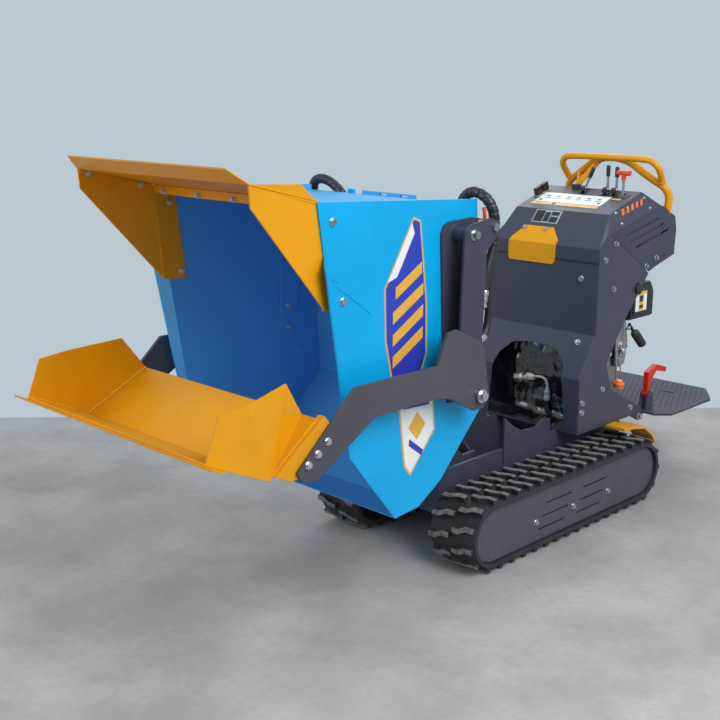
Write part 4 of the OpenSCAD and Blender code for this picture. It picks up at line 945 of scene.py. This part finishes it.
class CARRIER_OT_stripes(bpy.types.Operator):
    """Sticks plain stripes of the photo's colours on both sides of the skip"""
    bl_idname = "carrier.stripes"
    bl_label = "Stick the stripes"

    def execute(self, context):
        layers = (("gold", 0, [FLAG, inset(PENNANT, -6)]),
                  ("navy", 1, [inset(FLAG, 6)]),
                  ("white_vinyl", 1, [PENNANT]),
                  ("gold", 2, FLAG_BARS + PENNANT_BARS[:1]),
                  ("white_vinyl", 2, [FLAG_WEDGE]),
                  ("navy", 2, PENNANT_BARS[1:]))
        for name, flip in SIDES:
            for n, (finish, layer, outlines) in enumerate(layers):
                shape = Shape()
                for outline in outlines:
                    face = SKIP_FACE + 0.05 + layer * VINYL * 1000
                    shape.prism(side(flip * face, outline), (flip * VINYL, 0, 0))
                shape.build(f"stripe_{name}_{n}", "skip", "white_plate", FINISHES[finish])
        return {"FINISHED"}


class CARRIER_OT_skip_trim(bpy.types.Operator):
    """Adds the skip's pressed creases, bracket strips and heads, ram ports and pivot nuts"""
    bl_idname = "carrier.skip_trim"
    bl_label = "Trim the skip"

    def execute(self, context):
        creases = Shape()
        for _, flip in SIDES:
            for line in SKIP_CREASES:
                creases.tube(curve_points(side(flip * SKIP_FACE, line), 14), 0.0018, 8)
        creases.block(*places(SKIP_TAB))
        creases.build("skip_creases", "skip", "blue_paint", bevel=0.0015)
        strips = Shape()
        for _, flip in SIDES:
            strips.prism(side(flip * STRIP_FACE, STRIP), (flip * -0.004, 0, 0))
        strips.build("bracket_strips", "skip", "blue_paint", FINISHES["skip"], bevel=0.0015)
        heads("bracket_heads", outward(BRACKET_HEAD), "skip", 0.024, 0.016, crown=0.94)
        heads("pivot_nuts", outward(PIVOT_NUT), "skip", 0.030, 0.014, crown=0.92)
        welds = []
        boss_y, boss_z, boss_r = BRACKET_BOSS
        for _, s in SIDES:
            for k in range(36):
                a = 2 * math.pi * k / 36
                y, z = boss_y + boss_r * math.cos(a), boss_z + boss_r * math.sin(a)
                welds += [(at(s * x, y, z), Vector((1, 0, 0))) for x in BRACKET_PLATES]
        beads("bracket_welds", welds, "skip", "dark_grey_paint", 0.006, 0.005)
        for name, flip in SIDES:
            ports = Shape()
            for y, z, r, rise in RAM_PORTS:
                ports.lathe(at(flip * RAM_X, y, z), (0, 1, rise), port(r), 6)
            ports.build("ram_ports_" + name, f"shovel_ram_barrel_{name}_body", "zinc_steel", sharp=40)
        return {"FINISHED"}


class CARRIER_OT_guard_trim(bpy.types.Operator):
    """Folds the flanges of the guard's plates, its foot on the skip's rim and their bolt heads"""
    bl_idname = "carrier.guard_trim"
    bl_label = "Trim the guard"

    def execute(self, context):
        folds = Shape()
        folds.block(*places(GUARD_FOOT))
        for _, s in SIDES:
            folds.prism(places(GUARD_CHEEK, s), (s * -0.004, 0, 0))
            folds.prism(places(GUARD_FLANGE, s), (s * -0.003, 0, 0))
        folds.build("guard_folds", "skip", "yellow_paint", bevel=0.001)
        spots = [(at(x, -1188, 1188), Vector((0, -1, 0))) for x in GUARD_FOOT_HEADS]
        for _, s in SIDES:
            spots += [(spot, Vector((-s, 0, 0))) for spot in places(GUARD_HEADS, s)]
        heads("guard_heads", spots, "skip", 0.014, 0.009, finish=FINISHES["galvanised"])
        return {"FINISHED"}


class CARRIER_OT_shovel_trim(bpy.types.Operator):
    """Runs the weld beads along the seams of the shovel"""
    bl_idname = "carrier.shovel_trim"
    bl_label = "Weld the shovel"

    def execute(self, context):
        width = context.scene.carrier_sizes.weld_w
        spots = []
        for _, s in SIDES:
            corner = at(s * 393, -1401, 564)
            spots += seam(corner, at(s * 335, -1240, 682), Vector((-s, -0.7, 0.6)), width)
            spots += seam(corner, at(s * 393, -1572, 645), Vector((-s, 0.2, 0.7)), width)
            spots += seam(at(s * 399, -1304, 612), at(s * 399, -1236, 658), Vector((0, 0.5, -0.7)), width)
        # The beads take the lighter weld coat, a painted highlight
        beads("shovel_welds", spots, "shovel", "yellow_paint", width, width * 0.8, FINISHES["weld"])
        return {"FINISHED"}


class CARRIER_OT_console_trim(bpy.types.Operator):
    """Adds labels, strips, rivets, seals, boots and reflectors to the console"""
    bl_idname = "carrier.console_trim"
    bl_label = "Trim the console"

    def execute(self, context):
        slope = Placing(SLOPE_FOOT, HOOD_FRONT)
        hood = Placing(HOOD_FRONT, HOOD_BACK)
        slope.sheets("rating_plate", "white_plate", "plate", [(-106, 84, 112, 56)], 0.0, 0.0008)
        slope.sheets("rating_fields", "black_plastic", "ink",
                     [(-101, 88, 38, 48), (-34, 118, 34, 16), (-60, 90, 22, 40), (-34, 88, 34, 24)],
                     0.0008, 0.0003)
        hood.sheets("hood_strips", "white_plate", "gold",
                    [(-165, 36, 90, 20), (-60, 36, 180, 20), (-197, 100, 27, 74), (128, 118, 38, 13)],
                    0.0016, 0.0003)
        hood.sheets("hood_marks_blue", "white_plate", "cyan",
                    [(-140 + 44 * i, 92, 26, 7) for i in range(6)], 0.0016, 0.0003)
        hood.sheets("hood_marks_dark", "black_plastic", "ink",
                    [(-140 + 44 * i, 108, 15, 8) for i in range(6)] + [(-152, 70, 12, 10), (98, 72, 10, 14)],
                    0.0016, 0.0003)
        hood.sheets("lever_gate", "black_rubber", "hose", [(124, 136, 52, 34)], 0.0002, 0.0012)
        hood.sheets("lever_lips", "black_rubber", "hose",
                    [(x + shift, 140, 7, 54) for _, x in LEVERS for shift in (-13.5, 6.5)], 0.0002, 0.0015)
        for name, x in LEVERS:
            boot = Shape().lathe(hood.spot(x, 166.8, 8.0), hood.up, BOOT, 24)
            boot.build("boot_" + name, name + "_body", "black_rubber", FINISHES["hose"])
        foot = Shape().block(at(-86, 505, 1098), at(-58, 527, 1119))
        foot.build("brace_foot", "chassis", "black_rubber", FINISHES["hose"], bevel=0.0015)
        seal = Shape()
        seal.block(at(-224, 230.6, 879.5), at(224, 236, 884.5))
        for _, s in SIDES:
            for a, b in zip(SEAL_LINE, SEAL_LINE[1:]):
                a, b = Vector(a), Vector(b)
                way = (b - a).normalized() * SEAL_HALF
                across = Vector((-way.y, way.x))
                seal.prism(side(s * 228.6, (a + across, a - across, b - across, b + across)),
                           (s * 0.0006, 0, 0))
        seal.build("console_seals", "chassis", "black_rubber", FINISHES["hose"])
        rivets = [(spot, Vector((s * 0.92, -0.1, 0.36))) for _, s in SIDES for spot in places(HOOD_RIVETS, s)]
        heads("hood_rivets", rivets, "chassis", context.scene.carrier_sizes.rivet_d, 0.005, 16, 0.7)
        front = (at(167, 216, 603), Vector((0, -0.86, 0.51)))
        heads("plate_bolts", outward(*PLATE_BOLTS) + [front], "chassis", 0.016, 0.009)
        caps = [(slope.spot(x, 54, 3.0), slope.up) for x in (-112, -17)]
        heads("catch_bolts", caps, "chassis", 0.017, 0.010)
        for name, s in SIDES:
            dashes = Shape()
            for i in range(5):
                rings = []
                for k in range(7):
                    y, z = 384 + 28.4 * i + 14.2 * k / 6, 1034 + 6.6 * i + 3.3 * k / 6
                    base = [on_side("hood", s, y + 7 * r, z + 21 * r, 0.0) for r in (1, 0.5, 0)]
                    top = [on_side("hood", s, y + 7 * r, z + 21 * r, 0.0011) for r in (0, 0.5, 1)]
                    rings.append(dashes.ring(base + top))
                dashes.skin(rings)
            dashes.build("hood_dashes_" + name, "chassis", "red_plastic", FINISHES["orange"])
        lamps = Shape()
        for _, s in SIDES:
            x0, x1 = sorted((s * 150, s * 214))
            lamps.block(at(x0, 729, 876), at(x1, 741, 948))
        lamps.build("reflectors", "chassis", "red_plastic", FINISHES["orange"], bevel=0.004)
        return {"FINISHED"}


class CARRIER_OT_engine(bpy.types.Operator):
    """Adds the film behind the arch, the filter's cover, the carburettor with its links and the grip"""
    bl_idname = "carrier.engine"
    bl_label = "Dress the engine"

    def execute(self, context):
        film = Shape()
        profile = curve_points([at(0, y, z) for y, z in FILM_SIDE], 72)
        rows = []
        for point, (way, _, _) in zip(profile, path_frames(profile)):
            out = Vector((0, -way.z, way.y))
            row = []
            for k in range(FILM_STEPS + 1):
                spot = point + Vector((FILM_HALF / 1000 * (2 * k / FILM_STEPS - 1), 0, 0))
                fold = noise.fractal(Vector((spot.x * 16, spot.z * 7, 0.3)), 0.9, 2.1, 4)
                crease = 0.5 - abs(noise.noise(Vector((spot.x * 11 + spot.z * 6, spot.z * 9, 4.0))))
                loose = min(1.0, max(0.12, (spot.z - 0.30) * 18))
                row.append(spot + out * (0.006 * fold + 0.012 * crease) * loose)
            rows.append(film.ring(row))
        for a, b in zip(rows, rows[1:]):
            for i in range(FILM_STEPS):
                film.bm.faces.new((a[i], a[i + 1], b[i + 1], b[i]))
        sheet = film.build("arch_film", "chassis", "black_plastic", FINISHES["film"], sharp=80)
        sheet.modifiers.new("sheet", "SOLIDIFY").thickness = 0.001
        cover = Shape()
        cover.prism(side(212.0, FILTER_SHELL), (0.010, 0, 0))
        cover.prism(side(222.0, FILTER_FACE), (0.004, 0, 0))
        cover.build("filter_cover", "chassis", "black_plastic", bevel=0.004)
        knob = Shape().lathe(at(222, 489, 766), (1, 0, 0),
                             [(0, 0.019), (0.006, 0.021), (0.014, 0.021), (0.017, 0.017)], 14)
        knob.build("filter_knob", "chassis", "black_plastic", sharp=50)
        for name, finish, lift, boxes in FILTER_LABELS:
            label = Shape()
            for y, z, w, h in boxes:
                corners = ((y, z), (y + w, z), (y + w, z + h), (y, z + h))
                label.prism(side(226.1 + lift, corners), (0.0003, 0, 0))
            label.build("filter_label_" + name, "chassis", "white_plate", FINISHES[finish])
        carb = Shape()
        carb.lathe(at(150, 442, 560), (1, 0, 0),
                   [(0, 0.030), (0.03, 0.030), (0.032, 0.024), (0.05, 0.024), (0.052, 0.018),
                    (0.062, 0.018)], 28)
        carb.lathe(at(182, 446, 478), (0, 0, 1),
                   [(0, 0.012), (0.004, 0.022), (0.034, 0.024), (0.038, 0.018), (0.09, 0.018)], 28)
        carb.prism(side(196, CARBURETTOR_PLATE), (0.006, 0, 0))
        carb.prism(side(204, CARBURETTOR_TAB), (0.005, 0, 0))
        carb.build("carburettor", "chassis", "cast_aluminium", bevel=0.0025)
        links = Shape()
        for route in LINKS:
            links.tube(curve_points(places(route), 24), 0.0022, 10)
        links.lathe(at(210, 440, 540), (1, 0, 0), link_nut(0.0115), 6)
        links.lathe(at(202, 478, 620), (1, 0, 0), link_nut(0.0095), 6)
        links.build("carburettor_links", "chassis", "zinc_steel", sharp=40)
        grip = Shape().tube(curve_points(places(ENGINE_GRIP), 24),
                            lambda i, a: 0.006 + 0.0105 * min(1.0, max(0.0, (i - 9) / 3)), 20)
        grip.build("starter_grip", "chassis", "black_plastic")
        plug = Shape().lathe(at(200, 440, 404), (0.2, 0, 1),
                             [(0, 0.020), (0.016, 0.021), (0.022, 0.012), (0.026, 0.012)], 18)
        plug.build("oil_filler_cap", "chassis", "red_plastic", FINISHES["orange"], sharp=50)
        return {"FINISHED"}


class CARRIER_OT_platform_trim(bpy.types.Operator):
    """Sets the grip studs on the standing platform and its hinge bolts"""
    bl_idname = "carrier.platform_trim"
    bl_label = "Stud the platform"

    def execute(self, context):
        studs = []
        for i in range(-13, 14):
            for j in range(19):
                spot = Vector((i * 22 + (11 if j % 2 else 0), 622 + j * 23, 0))
                drift = noise.noise_vector(spot * 0.37) * 2
                x, y = spot.x + drift.x, spot.y + drift.y
                edge = 292 - max(0, 650 - y) - max(0, y - 930) * 0.66
                slot = abs(abs(x) - 139.5) < 38 and min(abs(y - 760), abs(y - 910)) < 13
                latch = x > 170 and y < 690
                if abs(x) < edge and y < 1054 and not slot and not latch:
                    studs.append((at(x, y, PLATFORM_TOP), Vector((0, 0, 1))))
        heads("platform_studs", studs, "platform_body", 0.0085, 0.0018, 12, 0.55, "dark_grey_paint",
              FINISHES["grip_coat"])
        heads("hinge_bolts", outward(HINGE_BOLT), "chassis", 0.018, 0.010, crown=0.92)
        return {"FINISHED"}


# Stage: the photo's camera, as fitted to it, and the lamps as place, power and size

PHOTO_LENS = 56.22
PHOTO_PLACE = (2350.0, -3032.5, 1478.0)
PHOTO_TURN = (76.244, 0.0, 45.131)
LAMPS = (("key", (3.4, -0.6, 3.4), 150.0, 2.8), ("front", (-1.6, -4.2, 2.8), 70.0, 3.0),
         ("back", (-1.5, 3.2, 3.2), 45.0, 2.6))
LIT_MIDDLE = Vector((0.0, 0.0, 0.55))


class CARRIER_OT_stage(bpy.types.Operator):
    """Sets the floor, backdrop, light and camera"""
    bl_idname = "carrier.stage"
    bl_label = "Set the stage"

    def execute(self, context):
        scene = context.scene
        scene.view_settings.view_transform = "Standard"
        camera = bpy.data.objects.new("photo_camera", bpy.data.cameras.new("photo_camera"))
        camera.data.lens = PHOTO_LENS
        camera.data.sensor_width = 36.0
        camera.location = at(*PHOTO_PLACE)
        camera.rotation_euler = [math.radians(angle) for angle in PHOTO_TURN]
        scene.collection.objects.link(camera)
        scene.camera = camera
        mesh = bpy.data.meshes.new("floor")
        mesh.from_pydata([(-30, -30, 0), (30, -30, 0), (30, 30, 0), (-30, 30, 0)], [], [(0, 1, 2, 3)])
        floor = bpy.data.objects.new("floor", mesh)
        scene.collection.objects.link(floor)
        f = Finish("pale floor")
        place = f.place()
        cloud = f.noise(place, 2.2, 6.0, 0.62)
        fine = f.noise(place, 40.0, 4.0, 0.6)
        base = f.mix(cloud.between(0.28, 0.72), (0.31, 0.295, 0.29), (0.455, 0.445, 0.44))
        base = f.mix(fine.between(0.35, 0.75) * 0.3, base, (0.30, 0.285, 0.275))
        x, y, _ = f.axes(place)
        beyond = (x * -0.743 + (y - TRACK_BACK) * 0.669).between(1.215, 1.235)
        mesh.materials.append(f.surface(Base_Color=base, Roughness=0.72 + (fine - 0.5) * 0.2))
        f.glow(beyond, WALL)
        for name, spot, power, size in LAMPS:
            lamp = bpy.data.objects.new(name, bpy.data.lights.new(name, "AREA"))
            lamp.data.energy = power
            lamp.data.size = size
            lamp.location = spot
            lamp.rotation_euler = (LIT_MIDDLE - Vector(spot)).to_track_quat("-Z", "Y").to_euler()
            scene.collection.objects.link(lamp)
        world = bpy.data.worlds.new("studio")
        world.use_nodes = True
        world.node_tree.nodes["Background"].inputs[0].default_value = (*WALL, 1.0)
        scene.world = world
        return {"FINISHED"}


class CARRIER_PT_panel(bpy.types.Panel):
    """Lists the carrier's operators and sizes"""
    bl_idname = "CARRIER_PT_panel"
    bl_label = "Tracked carrier"
    bl_space_type = "VIEW_3D"
    bl_region_type = "UI"
    bl_category = "Carrier"

    def draw(self, context):
        for group in (context.scene.carrier_paint, context.scene.carrier_sizes):
            for key in group.__annotations__:
                self.layout.prop(group, key)
        for operator in OPERATORS:
            self.layout.operator(operator.bl_idname)


OPERATORS = (CARRIER_OT_stage, CARRIER_OT_paint, CARRIER_OT_handlebar, CARRIER_OT_hoses, CARRIER_OT_stripes,
             CARRIER_OT_skip_trim, CARRIER_OT_guard_trim, CARRIER_OT_shovel_trim, CARRIER_OT_console_trim,
             CARRIER_OT_engine, CARRIER_OT_platform_trim)
CLASSES = (CarrierPaint, CarrierSizes, *OPERATORS, CARRIER_PT_panel)


def register():
    for cls in CLASSES:
        bpy.utils.register_class(cls)
    bpy.types.Scene.carrier_paint = PointerProperty(type=CarrierPaint)
    bpy.types.Scene.carrier_sizes = PointerProperty(type=CarrierSizes)


def unregister():
    del bpy.types.Scene.carrier_sizes
    del bpy.types.Scene.carrier_paint
    for cls in reversed(CLASSES):
        bpy.utils.unregister_class(cls)


def main():
    register()
    bpy.ops.carrier.stage()
    bpy.ops.carrier.paint()
    bpy.ops.carrier.handlebar()
    bpy.ops.carrier.hoses()
    bpy.ops.carrier.stripes()
    bpy.ops.carrier.skip_trim()
    bpy.ops.carrier.guard_trim()
    bpy.ops.carrier.shovel_trim()
    bpy.ops.carrier.console_trim()
    bpy.ops.carrier.engine()
    bpy.ops.carrier.platform_trim()


if __name__ == "__main__":
    main()
